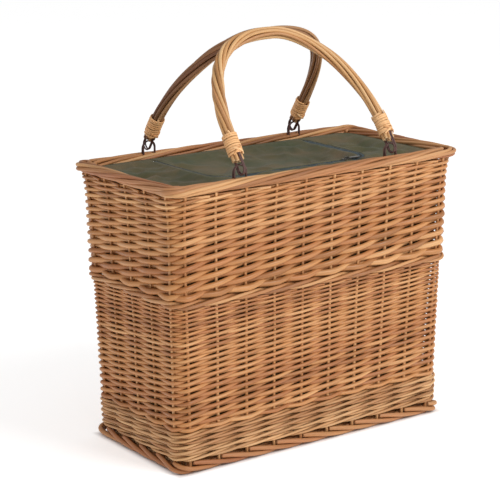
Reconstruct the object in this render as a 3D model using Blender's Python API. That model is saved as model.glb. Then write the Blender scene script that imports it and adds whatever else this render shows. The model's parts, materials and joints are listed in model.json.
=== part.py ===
"""Wicker cooler basket: a woven willow body with two hinged handles and a zipped cooler bag.

Metres, +Z up. The origin is under the middle of the basket, on the surface it stands on.
+X runs along the length, -Y is the front. The handles lean on each other over the middle.
"""
import math

import bmesh
import bpy
from mathutils import Vector

# Woven body
RIM_LENGTH = 0.455
RIM_WIDTH = 0.238
BODY_HEIGHT = 0.370
BASE_LENGTH = 0.420
BASE_WIDTH = 0.199
CORNER_RADIUS = 0.018
WALL = 0.009
WEAVE_RELIEF = 0.0015
CLEARANCE = 0.0003

# Bands of the wall, from the floor up
FOOT_HEIGHT = 0.016
FOOT_PROUD = 0.005
FOOT_GROOVE = 0.0022
UPSETT_HEIGHT = 0.038
UPSETT_PROUD = 0.0022
WAIST_LEVEL = 0.220
WAIST_HEIGHT = 0.010
WAIST_PROUD = 0.0015
BORDER_HEIGHT = 0.0145
BORDER_DEPTH = 0.019
BORDER_OVERHANG = 0.006
BASE_THICKNESS = 0.008
BASE_LIFT = 0.004
BASE_ROW = 0.0013
UPSETT_ROWS = 5
FRONT_SPACES = 9
SIDE_SPACES = 4
LOWER_COURSES = 18
LOWER_BUTT_SHARE = 1.32
UPPER_COURSES = 12
UPPER_BUTT_SHARE = 1.36
FOOT_STEPS = 3
BASE_ROWS = 14
BORDER_LAY = 0.150
WAIST_LAY = 0.110
ROPE_STEP = 0.021
LOBES = 4
LOBE_SHARES = (0.80, 1.0, 0.97)

# Links between the rim and the handles
LOOP_WIRE_RADIUS = 0.00115
RIM_LOOP_SPAN = 0.018
RIM_LOOP_RISE = 0.015
RIM_LOOP_SEAT = 0.0095
PIVOT_INSET = 0.014
HANDLE_LOOP_DROP = 0.0115
HANDLE_LOOP_LEG = 0.021
HANDLE_END = 0.005

# Handles: six rods laid round a core rod
HANDLE_SPAN = 0.237
FRONT_HANDLE_REACH = 0.1727
REAR_HANDLE_REACH = 0.1707
HANDLE_LEG = 0.020
STRAND_RADIUS = 0.0025
STRAND_GAP = 0.0006
CORE_GAP = 0.0008
STRANDS = 6
STRAND_STEPS_TWISTED = 9
HANDLE_POINTS = 26
FRONT_SHOULDER_SHARES = (1.85, 2.75)
REAR_SHOULDER_SHARES = (3.15, 2.00)

# Cane windings that bind the loops to the handles
CANE_RADIUS = 0.0009
WINDING_GAP = 0.0012
WINDING_TURNS = 9
WINDING_START = 0.010
TURN_POINTS = 9

# Cooler bag
BAG_SLACK = 0.001
BAG_DROP = 0.009
SHELL_FABRIC = 0.0012
FOAM = 0.005
LINING = 0.0008
TOP_PANEL = 0.003
BAG_CORNER_RADIUS = 0.020
ZIP_END_MARGIN = 0.0855
ZIP_FRONT_MARGIN = 0.036
ZIP_CORNER_RADIUS = 0.035
LID_BACK_MARGIN = 0.013
LID_LINING = 0.001
LID_LINING_INSET = 0.0025
TAPE_WIDTH = 0.006
TAPE_THICKNESS = 0.0015
ZIP_GAP = 0.0016

# Zip slider and its pull
SLIDER_LENGTH = 0.010
SLIDER_WIDTH = 0.008
SLIDER_PLATE = 0.0011
SLIDER_NECK = 0.0008
SLIDER_INSET = 0.007
BRIDGE_BAR = 0.0012
BRIDGE_LENGTH = 0.0075
BRIDGE_OPENING = 0.0018
PULL_LENGTH = 0.021
PULL_WIDTH = 0.0065
PULL_THICKNESS = 0.0010
PULL_EYE = 0.0045
PULL_NECK_SHARE = 0.67
PULL_TIP_SHARE = 0.5

# Steps of the round forms
CORNER_STEPS = 3
STAKE_CORNER_STEPS = 2
BAG_CORNER_STEPS = 3
ZIP_CORNER_STEPS = 5
LOOP_STEPS = 8
HOLE_SIDES = 8
LEG_STEPS = 8
OUTLINE_STEPS = 240
LEAN_HALVINGS = 40
LEAN_LIMIT = math.pi / 3
SMOOTH_ANGLE = math.radians(40)

TWO_PI = 2 * math.pi
BODY_TOP = BODY_HEIGHT - BORDER_HEIGHT
BAG_INSET = max(WALL, BORDER_DEPTH - BORDER_OVERHANG) + BAG_SLACK
BAG_HALF_LENGTH = RIM_LENGTH / 2 - BORDER_OVERHANG - BAG_INSET
BAG_HALF_WIDTH = RIM_WIDTH / 2 - BORDER_OVERHANG - BAG_INSET
ZIP_HALF_LENGTH = BAG_HALF_LENGTH - ZIP_END_MARGIN
ZIP_FRONT = BAG_HALF_WIDTH - ZIP_FRONT_MARGIN
LID_HINGE = BAG_HALF_WIDTH - LID_BACK_MARGIN
PIVOT_Y = RIM_WIDTH / 2 - PIVOT_INSET
PIVOT_Z = BODY_HEIGHT + RIM_LOOP_RISE
LAY_RADIUS = (2 * STRAND_RADIUS + STRAND_GAP) / (2 * math.sin(math.pi / STRANDS))
CORE_RADIUS = LAY_RADIUS - STRAND_RADIUS - CORE_GAP
CORE_END = LOOP_WIRE_RADIUS + CLEARANCE


def clear_scene():
    for item in list(bpy.data.objects):
        bpy.data.objects.remove(item, do_unlink=True)


def material(name, colour, roughness, metallic=0.0):
    made = bpy.data.materials.get(name) or bpy.data.materials.new(name)
    made.use_nodes = True
    shader = made.node_tree.nodes["Principled BSDF"]
    shader.inputs["Base Color"].default_value = (*colour, 1.0)
    shader.inputs["Roughness"].default_value = roughness
    shader.inputs["Metallic"].default_value = metallic
    return made


def buff_willow():
    return material("buff_willow", (0.56, 0.29, 0.11), 0.45)


def pale_willow():
    return material("pale_willow", (0.72, 0.43, 0.18), 0.42)


def split_cane():
    return material("split_cane", (0.78, 0.52, 0.26), 0.5)


def dark_loop():
    return material("dark_loop", (0.10, 0.045, 0.035), 0.55)


def tweed():
    return material("green_tweed", (0.12, 0.13, 0.085), 0.95)


def foam():
    return material("white_foam", (0.82, 0.82, 0.80), 0.9)


def foil():
    return material("silver_lining", (0.62, 0.64, 0.66), 0.35, 0.6)


def zip_cloth():
    return material("zip_tape_cloth", (0.10, 0.13, 0.14), 0.85)


def zip_metal():
    return material("zip_metal", (0.35, 0.34, 0.32), 0.35, 1.0)


def add_object(name, mesh_or_curve, finish, parent=None):
    made = bpy.data.objects.new(name, mesh_or_curve)
    bpy.context.scene.collection.objects.link(made)
    made.data.materials.append(finish)
    if parent is not None:
        made.parent = parent
    return made


def mesh_object(name, build, finish, parent=None, smooth=True):
    mesh = bpy.data.meshes.new(name)
    build.normal_update()
    bmesh.ops.recalc_face_normals(build, faces=build.faces)
    build.to_mesh(mesh)
    build.free()
    if smooth:
        mesh.shade_smooth()
        mesh.set_sharp_from_angle(angle=SMOOTH_ANGLE)
    return add_object(name, mesh, finish, parent)


def empty(name, location, rotation=(0.0, 0.0, 0.0), parent=None):
    made = bpy.data.objects.new(name, None)
    bpy.context.scene.collection.objects.link(made)
    made.location = location
    made.rotation_euler = rotation
    made.parent = parent
    return made


def cut(target, cutter):
    """Subtract the cutter, which stays hidden in the file."""
    cutter.hide_render = True
    cutter.display_type = "WIRE"
    change = target.modifiers.new("cut_" + cutter.name, "BOOLEAN")
    change.operation = "DIFFERENCE"
    change.solver = "EXACT"
    change.object = cutter


# Outlines of the tapering body

def wall_size(height):
    """Length and width over the weave at a height."""
    share = height / BODY_TOP
    top_length = RIM_LENGTH - 2 * BORDER_OVERHANG
    top_width = RIM_WIDTH - 2 * BORDER_OVERHANG
    length = BASE_LENGTH + (top_length - BASE_LENGTH) * share
    width = BASE_WIDTH + (top_width - BASE_WIDTH) * share
    return length, width


def corner_points(length, width, radius, steps):
    """Stations round a rounded rectangle: four lists of arc points with outward normals."""
    corners = []
    for index, (sx, sy) in enumerate(((1, -1), (1, 1), (-1, 1), (-1, -1))):
        middle = Vector((sx * (length / 2 - radius), sy * (width / 2 - radius)))
        start = -math.pi / 2 + index * math.pi / 2
        arc = []
        for step in range(steps + 1):
            angle = start + step / steps * math.pi / 2
            normal = Vector((math.cos(angle), math.sin(angle)))
            arc.append((middle + normal * radius, normal))
        corners.append(arc)
    return corners


def stations(length, width, radius, counts, steps=CORNER_STEPS):
    """Points and normals all round, with counts of equal spaces along X and along Y."""
    corners = corner_points(length, width, radius, steps)
    made = []
    for index, arc in enumerate(corners):
        made.extend(arc)
        following = corners[(index + 1) % len(corners)][0]
        spaces = counts[1] if index % 2 == 0 else counts[0]
        for step in range(1, spaces):
            made.append((arc[-1][0].lerp(following[0], step / spaces), following[1]))
    return made


def offset_ring(points, offsets, height):
    """Move each station along its normal and lift the ring to a height."""
    ring = []
    for (point, normal), offset in zip(points, offsets):
        moved = point + normal * offset
        ring.append(Vector((moved.x, moved.y, height)))
    return ring


def closed_grid(name, rings, finish, parent=None):
    """A ring-shaped solid: rings of equal count, joined one to the next and last to first."""
    build = bmesh.new()
    rows = [[build.verts.new(point) for point in ring] for ring in rings]
    count = len(rows[0])
    for index, row in enumerate(rows):
        following = rows[(index + 1) % len(rows)]
        for step in range(count):
            ahead = (step + 1) % count
            build.faces.new((row[step], row[ahead], following[ahead], following[step]))
    bmesh.ops.triangulate(build, faces=build.faces)
    return mesh_object(name, build, finish, parent)


def stake_stations(height):
    """Stations at every stake and, between them, at the middle of every space.

    A corner has a stake at each end of its arc, so the even stations are the stakes.
    """
    length, width = wall_size(height)
    spaces = (2 * FRONT_SPACES, 2 * SIDE_SPACES)
    return stations(length, width, CORNER_RADIUS, spaces, STAKE_CORNER_STEPS)


def course_levels(bottom, top, courses, butt_share):
    """Heights of the band's edges and of each course's middle.

    The courses are taller at the bottom of the band, where the butts of the weavers lie.
    """
    levels = [bottom]
    for course in range(courses):
        share = (2 * course + 1) / (2 * courses)
        risen = share * (butt_share + (1 - butt_share) * share)
        levels.append(bottom + (top - bottom) * risen)
    levels.append(top)
    return levels


def weave_band(name, bottom, top, courses, butt_share):
    """A band of weave that swells at each stake that a course passes in front of."""
    levels = course_levels(bottom, top, courses, butt_share)
    rings = []
    for course, height in enumerate(levels):
        points = stake_stations(height)
        relief = 0.0 if height in (bottom, top) else WEAVE_RELIEF
        offsets = []
        for index in range(len(points)):
            in_front = index % 2 == 0 and (index // 2 + course) % 2 == 0
            offsets.append(relief if in_front else -relief)
        rings.append(offset_ring(points, offsets, height))
    for height in (top, bottom):
        points = stake_stations(height)
        rings.append(offset_ring(points, [-WALL] * len(points), height))
    return closed_grid(name, rings, buff_willow())


def rope_ring(name, level, height, depth, inset, lay):
    """Rods rolled round each other: a lobed section that turns as it goes round the body.

    inset is from the weave's outer face to the middle of the rope, inwards.
    """
    length, width = wall_size(min(level, BODY_TOP))
    length -= 2 * inset
    width -= 2 * inset
    radius = CORNER_RADIUS - inset
    straight = (length - 2 * radius, width - 2 * radius)
    counts = [max(2, round(run / ROPE_STEP)) for run in straight]
    points = stations(length, width, radius, counts)
    sides = len(LOBE_SHARES) * LOBES
    around = 2 * sum(straight) + TWO_PI * radius
    turns = max(1, round(around / lay))
    travelled = 0.0
    rings = []
    for index, (point, normal) in enumerate(points):
        if index:
            travelled += (point - points[index - 1][0]).length
        turn = TWO_PI * turns * travelled / around
        ring = []
        for side in range(sides):
            share = LOBE_SHARES[side % len(LOBE_SHARES)]
            angle = TWO_PI * side / sides + turn
            out = math.cos(angle) * share * depth / 2
            up = math.sin(angle) * share * height / 2
            ring.append(Vector((point.x + normal.x * out, point.y + normal.y * out, level + up)))
        rings.append(ring)
    return closed_grid(name, rings, buff_willow())


def foot_border():
    """Slanting rods round the foot, with a flat underside to stand on."""
    length, width = wall_size(0.0)
    spaces = (FRONT_SPACES * FOOT_STEPS, SIDE_SPACES * FOOT_STEPS)
    points = stations(length, width, CORNER_RADIUS, spaces)
    edge = FOOT_PROUD / 2
    levels = ((0.0, edge, 2), (FOOT_HEIGHT / 3, FOOT_PROUD, 1), (FOOT_HEIGHT, edge, 0))
    rings = []
    for height, proud, shift in levels:
        grooves = [(index + shift) % FOOT_STEPS == 0 for index in range(len(points))]
        offsets = [proud - FOOT_GROOVE * groove for groove in grooves]
        rings.append(offset_ring(points, offsets, height))
    inner = [-WALL] * len(points)
    rings.append(offset_ring(points, inner, FOOT_HEIGHT))
    rings.append(offset_ring(points, inner, 0.0))
    return closed_grid("foot_border", rings, buff_willow())


def upsett_wale(bottom, top):
    """Rows of thicker twisted rods above the foot."""
    row = (top - bottom) / UPSETT_ROWS
    rings = []
    for index in range(2 * UPSETT_ROWS + 1):
        height = bottom + index * row / 2
        length, width = wall_size(height)
        points = stations(length, width, CORNER_RADIUS, (FRONT_SPACES, SIDE_SPACES))
        proud = UPSETT_PROUD * (index % 2)
        rings.append(offset_ring(points, [proud] * len(points), height))
    for height in (top, bottom):
        length, width = wall_size(height)
        points = stations(length, width, CORNER_RADIUS, (FRONT_SPACES, SIDE_SPACES))
        rings.append(offset_ring(points, [-WALL] * len(points), height))
    return closed_grid("upsett_wale", rings, buff_willow())


def plate(name, outline, bottom, top, finish, parent=None):
    """A flat piece: an outline, run anticlockwise, raised from one height to another."""
    build = bmesh.new()
    lower = [build.verts.new((x, y, bottom)) for x, y in outline]
    upper = [build.verts.new((x, y, top)) for x, y in outline]
    build.faces.new(list(reversed(lower)))
    build.faces.new(upper)
    for index, corner in enumerate(lower):
        ahead = (index + 1) % len(lower)
        build.faces.new((corner, lower[ahead], upper[ahead], upper[index]))
    return mesh_object(name, build, finish, parent, smooth=False)


def base_panel():
    """Woven base inside the foot, ribbed along its length by its rows."""
    length, width = wall_size(0.0)
    inset = WALL + CLEARANCE
    half_x = length / 2 - inset
    half_y = width / 2 - inset
    radius = CORNER_RADIUS / 2
    build = bmesh.new()
    steps = 2 * BASE_ROWS
    lines = []
    for index in range(steps + 1):
        y = -half_y + 2 * half_y * index / steps
        over = max(0.0, abs(y) - (half_y - radius))
        x = half_x - radius + math.sqrt(max(0.0, radius ** 2 - over ** 2))
        ripple = BASE_ROW * (index % 2)
        low = BASE_LIFT - ripple + BASE_ROW
        high = BASE_LIFT + BASE_THICKNESS - BASE_ROW + ripple
        corners = ((-x, y, low), (x, y, low), (x, y, high), (-x, y, high))
        lines.append([build.verts.new(corner) for corner in corners])
    for index in range(steps):
        here = lines[index]
        following = lines[index + 1]
        for side in range(4):
            ahead = (side + 1) % 4
            build.faces.new((here[side], here[ahead], following[ahead], following[side]))
    build.faces.new(lines[0])
    build.faces.new(list(reversed(lines[-1])))
    return mesh_object("base_panel", build, buff_willow(), smooth=False)


def tube(name, points, radius, finish, parent=None, resolution=1):
    """A round rod or wire along points, with filled ends."""
    curve = bpy.data.curves.new(name, "CURVE")
    curve.dimensions = "3D"
    curve.bevel_depth = radius
    curve.bevel_resolution = resolution
    curve.use_fill_caps = True
    curve.resolution_u = 1
    curve.render_resolution_u = 0
    spline = curve.splines.new("POLY")
    spline.points.add(len(points) - 1)
    for target, point in zip(spline.points, points):
        target.co = (*point, 1.0)
    spline.use_smooth = True
    return add_object(name, curve, finish, parent)


# Handles

def handle_outline(arch):
    """Fine points of the arch in its own plane: straight legs, then rounded shoulders.

    An arch is its reach, and the shares that shape its right and its left shoulder.
    """
    reach, right, left = arch
    half = HANDLE_SPAN / 2
    rise = reach - HANDLE_LEG
    points = [(half, HANDLE_LEG * step / LEG_STEPS) for step in range(LEG_STEPS)]
    for step in range(OUTLINE_STEPS + 1):
        angle = math.pi * step / OUTLINE_STEPS
        across = math.cos(angle)
        power = 2 / (right if across > 0 else left)
        u = half * math.copysign(abs(across) ** power, across)
        v = HANDLE_LEG + rise * abs(math.sin(angle)) ** power
        points.append((u, v))
    points.extend((-half, HANDLE_LEG * step / LEG_STEPS) for step in reversed(range(LEG_STEPS)))
    return points


def along(points, distances):
    """Points and tangents at given distances along a flat polyline."""
    lengths = [0.0]
    for here, following in zip(points, points[1:]):
        lengths.append(lengths[-1] + math.dist(here, following))
    made = []
    segment = 0
    for distance in distances:
        while segment < len(points) - 2 and lengths[segment + 1] < distance:
            segment += 1
        here = Vector(points[segment])
        following = Vector(points[segment + 1])
        span = lengths[segment + 1] - lengths[segment]
        share = (distance - lengths[segment]) / span
        made.append((here.lerp(following, share), (following - here).normalized()))
    return made, lengths[-1]


def handle_length(arch):
    return along(handle_outline(arch), [0.0])[1]


def straight_foot():
    """Length at each end of a handle where the rods run straight under the winding."""
    return WINDING_START + WINDING_TURNS * winding_pitch() + CANE_RADIUS


def rod_route(arch, number, radius, first):
    """Centre line of one rod of a handle, laid at a radius round the middle."""
    total = handle_length(arch)
    run = total - 2 * first
    distances = [first + run * step / (HANDLE_POINTS - 1) for step in range(HANDLE_POINTS)]
    places, total = along(handle_outline(arch), distances)
    straight = straight_foot()
    route = []
    for distance, (point, tangent) in zip(distances, places):
        share = (distance - straight) / (total - 2 * straight)
        share = min(1.0, max(0.0, share))
        eased = share * share * (3 - 2 * share)
        turned = eased * STRAND_STEPS_TWISTED + number
        angle = TWO_PI * turned / STRANDS
        normal = Vector((tangent.y, -tangent.x))
        out = math.cos(angle) * radius
        side = math.sin(angle) * radius
        route.append((point.x + normal.x * out, side, point.y + normal.y * out))
    return route


def handle_lean(arch, front):
    """Angle at which a handle's rods just reach the middle plane, where the other handle leans."""
    points = []
    for number in range(STRANDS):
        points.extend(rod_route(arch, number, LAY_RADIUS, HANDLE_END))
    room = PIVOT_Y - STRAND_RADIUS - CLEARANCE / 2
    low = 0.0
    high = LEAN_LIMIT
    for _ in range(LEAN_HALVINGS):
        lean = (low + high) / 2
        reached = max(z * math.sin(lean) - front * y * math.cos(lean) for x, y, z in points)
        if reached < room:
            low = lean
        else:
            high = lean
    return low


def handle(name, arch, pivot):
    """The core rod reaches down to the rim loops and stands on them."""
    core = rod_route(arch, 0, 0.0, CORE_END)
    tube(name + "_core_rod", core, CORE_RADIUS, pale_willow(), pivot)
    for number in range(STRANDS):
        route = rod_route(arch, number, LAY_RADIUS, HANDLE_END)
        tube(f"{name}_rod_{number + 1}", route, STRAND_RADIUS, pale_willow(), pivot)


def loop_leg_radius():
    """Distance from the handle's middle to a loop leg lying in the valley of two rods."""
    touching = STRAND_RADIUS + LOOP_WIRE_RADIUS + CLEARANCE
    half_space = LAY_RADIUS * math.sin(math.pi / STRANDS)
    return LAY_RADIUS * math.cos(math.pi / STRANDS) + math.sqrt(touching ** 2 - half_space ** 2)


def winding_pitch():
    return 2 * CANE_RADIUS + WINDING_GAP


def winding_radius():
    """The chords of the coarse turns cut inwards, so the turns are laid that much wider."""
    inner = loop_leg_radius() + LOOP_WIRE_RADIUS + CLEARANCE + CANE_RADIUS
    return inner / math.cos(math.pi / TURN_POINTS)


def least_gap(points, wire_radius):
    """Smallest space between parts of one tube that lie over half a turn apart."""
    smallest = math.inf
    for first, here in enumerate(points):
        for other in points[first + TURN_POINTS // 2:]:
            smallest = min(smallest, math.dist(here, other))
    return smallest - 2 * wire_radius


def winding(name, arch, side, pivot):
    """Cane wound round one foot of a handle, as one unbroken tube."""
    outline = handle_outline(arch)
    if side < 0:
        outline = list(reversed(outline))
    steps = WINDING_TURNS * TURN_POINTS
    distances = [WINDING_START + winding_pitch() * step / TURN_POINTS for step in range(steps + 1)]
    places, total = along(outline, distances)
    radius = winding_radius()
    route = []
    for step, (point, tangent) in enumerate(places):
        angle = TWO_PI * step / TURN_POINTS
        normal = Vector((tangent.y, -tangent.x))
        out = math.cos(angle) * radius
        across = math.sin(angle) * radius
        route.append((point.x + normal.x * out, across, point.y + normal.y * out))
    print(f"{name}: least gap between turns {least_gap(route, CANE_RADIUS) * 1000:.2f} mm")
    tube(name, route, CANE_RADIUS, split_cane(), pivot)


def half_round(radius, steps):
    """Points of a half circle that opens upwards, from its right end to its left end."""
    return [
        (radius * math.cos(math.pi * step / steps), -radius * math.sin(math.pi * step / steps))
        for step in range(steps + 1)
    ]


def handle_loop(name, side, pivot):
    """U-shaped loop hanging from a handle's foot, its legs bound against the rods."""
    radius = loop_leg_radius()
    lift = -(HANDLE_LOOP_DROP - radius)
    bend = [(x, lift + z) for x, z in half_round(radius, LOOP_STEPS)]
    profile = [(radius, HANDLE_LOOP_LEG), *bend, (-radius, HANDLE_LOOP_LEG)]
    across = side * HANDLE_SPAN / 2
    tube(name, [(across, y, z) for y, z in profile], LOOP_WIRE_RADIUS, dark_loop(), pivot)


def rim_loop(name, across, front):
    """Inverted U held between the rods of the border, with a blind hole for each leg."""
    radius = RIM_LOOP_SPAN / 2
    springing = PIVOT_Z - radius
    bottom = BODY_HEIGHT - RIM_LOOP_SEAT
    bend = [(x, springing - z) for x, z in half_round(radius, LOOP_STEPS)]
    profile = [(radius, bottom), *bend, (-radius, bottom)]
    y = front * PIVOT_Y
    tube(name, [(across + x, y, z) for x, z in profile], LOOP_WIRE_RADIUS, dark_loop())
    border = bpy.data.objects["top_border"]
    for end in (-1, 1):
        hole = bmesh.new()
        bmesh.ops.create_cone(
            hole,
            cap_ends=True,
            segments=HOLE_SIDES,
            radius1=LOOP_WIRE_RADIUS + CLEARANCE,
            radius2=LOOP_WIRE_RADIUS + CLEARANCE,
            depth=RIM_LOOP_SEAT + BORDER_HEIGHT / 2 + CLEARANCE,
        )
        cutter = mesh_object(f"{name}_hole_{end + 1}", hole, dark_loop(), smooth=False)
        middle = BODY_HEIGHT + (BORDER_HEIGHT / 2 - RIM_LOOP_SEAT - CLEARANCE) / 2
        cutter.location = (across + end * radius, y, middle)
        cut(border, cutter)


def handles():
    feet = ((-1, "left"), (1, "right"))
    front_arch = (FRONT_HANDLE_REACH, *FRONT_SHOULDER_SHARES)
    rear_arch = (REAR_HANDLE_REACH, *REAR_SHOULDER_SHARES)
    for place, front, arch in (("front", -1, front_arch), ("rear", 1, rear_arch)):
        pivot = empty(f"{place}_handle_pivot", (0.0, front * PIVOT_Y, PIVOT_Z))
        pivot.rotation_euler = (front * handle_lean(arch, front), 0.0, 0.0)
        handle(f"{place}_handle", arch, pivot)
        for side, end in feet:
            winding(f"{place}_{end}_winding", arch, side, pivot)
            handle_loop(f"{place}_{end}_handle_loop", side, pivot)
            rim_loop(f"{place}_{end}_rim_loop", side * HANDLE_SPAN / 2, front)


# Cooler bag

def bag_outline(height, inset):
    length, width = wall_size(min(height, BODY_TOP))
    inner = BAG_INSET + inset
    radius = max(BAG_CORNER_RADIUS - inset, CLEARANCE)
    points = stations(length - 2 * inner, width - 2 * inner, radius, (1, 1), BAG_CORNER_STEPS)
    return [(point.x, point.y) for point, normal in points]


def tub(name, inset, thickness, floor, floor_thickness, top, finish):
    """An open box with rounded corners that tapers with the basket."""
    build = bmesh.new()
    levels = (
        (floor, inset),
        (top, inset),
        (top, inset + thickness),
        (floor + floor_thickness, inset + thickness),
    )
    rows = []
    for height, offset in levels:
        rows.append([build.verts.new((x, y, height)) for x, y in bag_outline(height, offset)])
    for row, following in zip(rows, rows[1:]):
        for index, corner in enumerate(row):
            ahead = (index + 1) % len(row)
            build.faces.new((corner, row[ahead], following[ahead], following[index]))
    build.faces.new(list(reversed(rows[0])))
    build.faces.new(rows[-1])
    return mesh_object(name, build, finish, smooth=False)


def zip_line(offset):
    """Points of the U-shaped zip, moved outwards by an offset, from right back to left back."""
    half = ZIP_HALF_LENGTH + offset
    front = -ZIP_FRONT - offset
    radius = ZIP_CORNER_RADIUS + offset
    points = [(half, LID_HINGE)]
    for side, start in ((1, 0.0), (-1, math.pi / 2)):
        middle_x = side * (half - radius)
        middle_y = front + radius
        for step in range(ZIP_CORNER_STEPS + 1):
            angle = start + math.pi / 2 * step / ZIP_CORNER_STEPS
            points.append((middle_x + radius * math.cos(angle), middle_y - radius * math.sin(angle)))
    points.append((-half, LID_HINGE))
    return points


def zip_tape(name, inner, outer, top, parent=None):
    """A strip of tape that follows the zip between two offsets."""
    build = bmesh.new()
    drop = TAPE_THICKNESS
    lines = ((inner, top), (outer, top), (outer, top - drop), (inner, top - drop))
    rows = []
    for offset, height in lines:
        rows.append([build.verts.new((x, y, height)) for x, y in zip_line(offset)])
    count = len(rows[0])
    for index, row in enumerate(rows):
        following = rows[(index + 1) % len(rows)]
        for step in range(count - 1):
            build.faces.new((row[step], row[step + 1], following[step + 1], following[step]))
    build.faces.new([row[0] for row in rows])
    build.faces.new([row[-1] for row in reversed(rows)])
    return mesh_object(name, build, zip_cloth(), parent, smooth=False)


def lid_outline(offset, hinge_gap):
    """Outline of the flap inside the zip, anticlockwise, short of the hinge by a gap."""
    points = zip_line(offset)
    points[0] = (points[0][0], LID_HINGE - hinge_gap)
    points[-1] = (points[-1][0], LID_HINGE - hinge_gap)
    return list(reversed(points))


def cooler_bag():
    top = BODY_HEIGHT - BAG_DROP
    panel_bottom = top - TOP_PANEL
    floor = BASE_LIFT + BASE_THICKNESS + CLEARANCE
    rim = panel_bottom - CLEARANCE
    inset = 0.0
    layers = (
        ("bag_shell", SHELL_FABRIC, tweed()),
        ("bag_insulation", FOAM, foam()),
        ("bag_lining", LINING, foil()),
    )
    for name, thickness, finish in layers:
        tub(name, inset, thickness, floor, thickness, rim, finish)
        inset += thickness + CLEARANCE
        floor += thickness + CLEARANCE
    panel = plate("bag_top_panel", bag_outline(top, 0.0), panel_bottom, top, tweed())
    edge = ZIP_GAP / 2 + TAPE_WIDTH
    opening = list(reversed(zip_line(edge + CLEARANCE)))
    cutter = plate("lid_opening", opening, panel_bottom - TOP_PANEL, top + TOP_PANEL, tweed())
    cut(panel, cutter)
    zip_tape("bag_zip_tape", ZIP_GAP / 2, edge, top)


def lid():
    """Flap of the bag, its hinge along the back at the level of its top."""
    top = BODY_HEIGHT - BAG_DROP
    hinge = empty("lid_hinge", (0.0, LID_HINGE, top))
    edge = ZIP_GAP / 2 + TAPE_WIDTH + CLEARANCE
    flap = plate("lid_flap", lid_outline(-edge, CLEARANCE), -TOP_PANEL, 0.0, tweed(), hinge)
    lining_top = -TOP_PANEL - CLEARANCE
    outline = lid_outline(-edge - LID_LINING_INSET, LID_LINING_INSET)
    lining = plate("lid_lining", outline, lining_top - LID_LINING, lining_top, foil(), hinge)
    tape = zip_tape("lid_zip_tape", -ZIP_GAP / 2 - TAPE_WIDTH, -ZIP_GAP / 2, 0.0, hinge)
    for piece in (flap, lining, tape):
        for vertex in piece.data.vertices:
            vertex.co.y -= LID_HINGE
    return hinge


def block(name, low, high, parent):
    """A metal block between two corners."""
    build = bmesh.new()
    corners = []
    for z in (low[2], high[2]):
        for x, y in ((low[0], low[1]), (high[0], low[1]), (high[0], high[1]), (low[0], high[1])):
            corners.append(build.verts.new((x, y, z)))
    sides = ((3, 2, 1, 0), (4, 5, 6, 7), (0, 1, 5, 4), (1, 2, 6, 5), (2, 3, 7, 6), (3, 0, 4, 7))
    for side in sides:
        build.faces.new([corners[index] for index in side])
    return mesh_object(name, build, zip_metal(), parent, smooth=False)


def profile_block(name, profile, width, middle, finish, parent):
    """A profile in X and Z, run anticlockwise, given a width along Y."""
    build = bmesh.new()
    near = [build.verts.new((x, middle - width / 2, z)) for x, z in profile]
    far = [build.verts.new((x, middle + width / 2, z)) for x, z in profile]
    build.faces.new(near)
    build.faces.new(list(reversed(far)))
    for index, corner in enumerate(near):
        ahead = (index + 1) % len(near)
        build.faces.new((corner, far[index], far[ahead], near[ahead]))
    return mesh_object(name, build, finish, parent, smooth=False)


def slider(slide):
    """Upper plate over both tapes, a neck between them and a lower plate under the lid's tape.

    Its bridge holds the pull.
    """
    half = SLIDER_LENGTH / 2
    side = SLIDER_WIDTH / 2
    neck = SLIDER_NECK / 2
    plate_top = CLEARANCE + SLIDER_PLATE
    lower_top = -TAPE_THICKNESS - CLEARANCE
    sunk = SLIDER_PLATE / 2 + CLEARANCE
    body = block("zip_slider", (-half, -side, CLEARANCE), (half, side, plate_top), slide)
    joined = (
        bridge(slide),
        block("slider_neck", (-half / 2, -neck, lower_top - sunk), (half / 2, neck, sunk), slide),
        block("slider_lower", (-half, -neck, lower_top - SLIDER_PLATE), (half, side, lower_top), slide),
    )
    for piece in joined:
        piece.hide_render = True
        piece.display_type = "WIRE"
        union = body.modifiers.new("join_" + piece.name, "BOOLEAN")
        union.operation = "UNION"
        union.solver = "EXACT"
        union.object = piece


def bridge(slide):
    """Arch along the slider's travel, its feet sunk into the upper plate."""
    outside = BRIDGE_LENGTH / 2
    inside = outside - BRIDGE_BAR
    sunk = CLEARANCE + SLIDER_PLATE / 2
    under = CLEARANCE + SLIDER_PLATE + BRIDGE_OPENING
    arch_top = under + BRIDGE_BAR
    arch = [
        (-outside, sunk),
        (-inside, sunk),
        (-inside, under),
        (inside, under),
        (inside, sunk),
        (outside, sunk),
        (outside, under),
        (inside, arch_top),
        (-inside, arch_top),
        (-outside, under),
    ]
    return profile_block("slider_bridge", arch, BRIDGE_BAR, 0.0, zip_metal(), slide)


def pull(hinge):
    """Flat tab with an eye whose end bar lies under the slider's bridge."""
    bar = PULL_THICKNESS / 2
    half = PULL_WIDTH / 2
    eye_half = BRIDGE_BAR / 2 + CLEARANCE * 2
    neck = half * PULL_NECK_SHARE
    tip = half * PULL_TIP_SHARE
    outer = [(-bar, -neck), (PULL_LENGTH - half, -half), (PULL_LENGTH, -tip)]
    outline = outer + [(x, -y) for x, y in reversed(outer)]
    tab = plate("zip_pull", outline, -bar, bar, zip_metal(), hinge)
    end = bar + PULL_EYE
    eye = ((bar, -eye_half), (end, -eye_half), (end, eye_half), (bar, eye_half))
    cutter = plate("pull_eye", eye, -PULL_THICKNESS, PULL_THICKNESS, zip_metal(), hinge)
    cut(tab, cutter)


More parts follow.
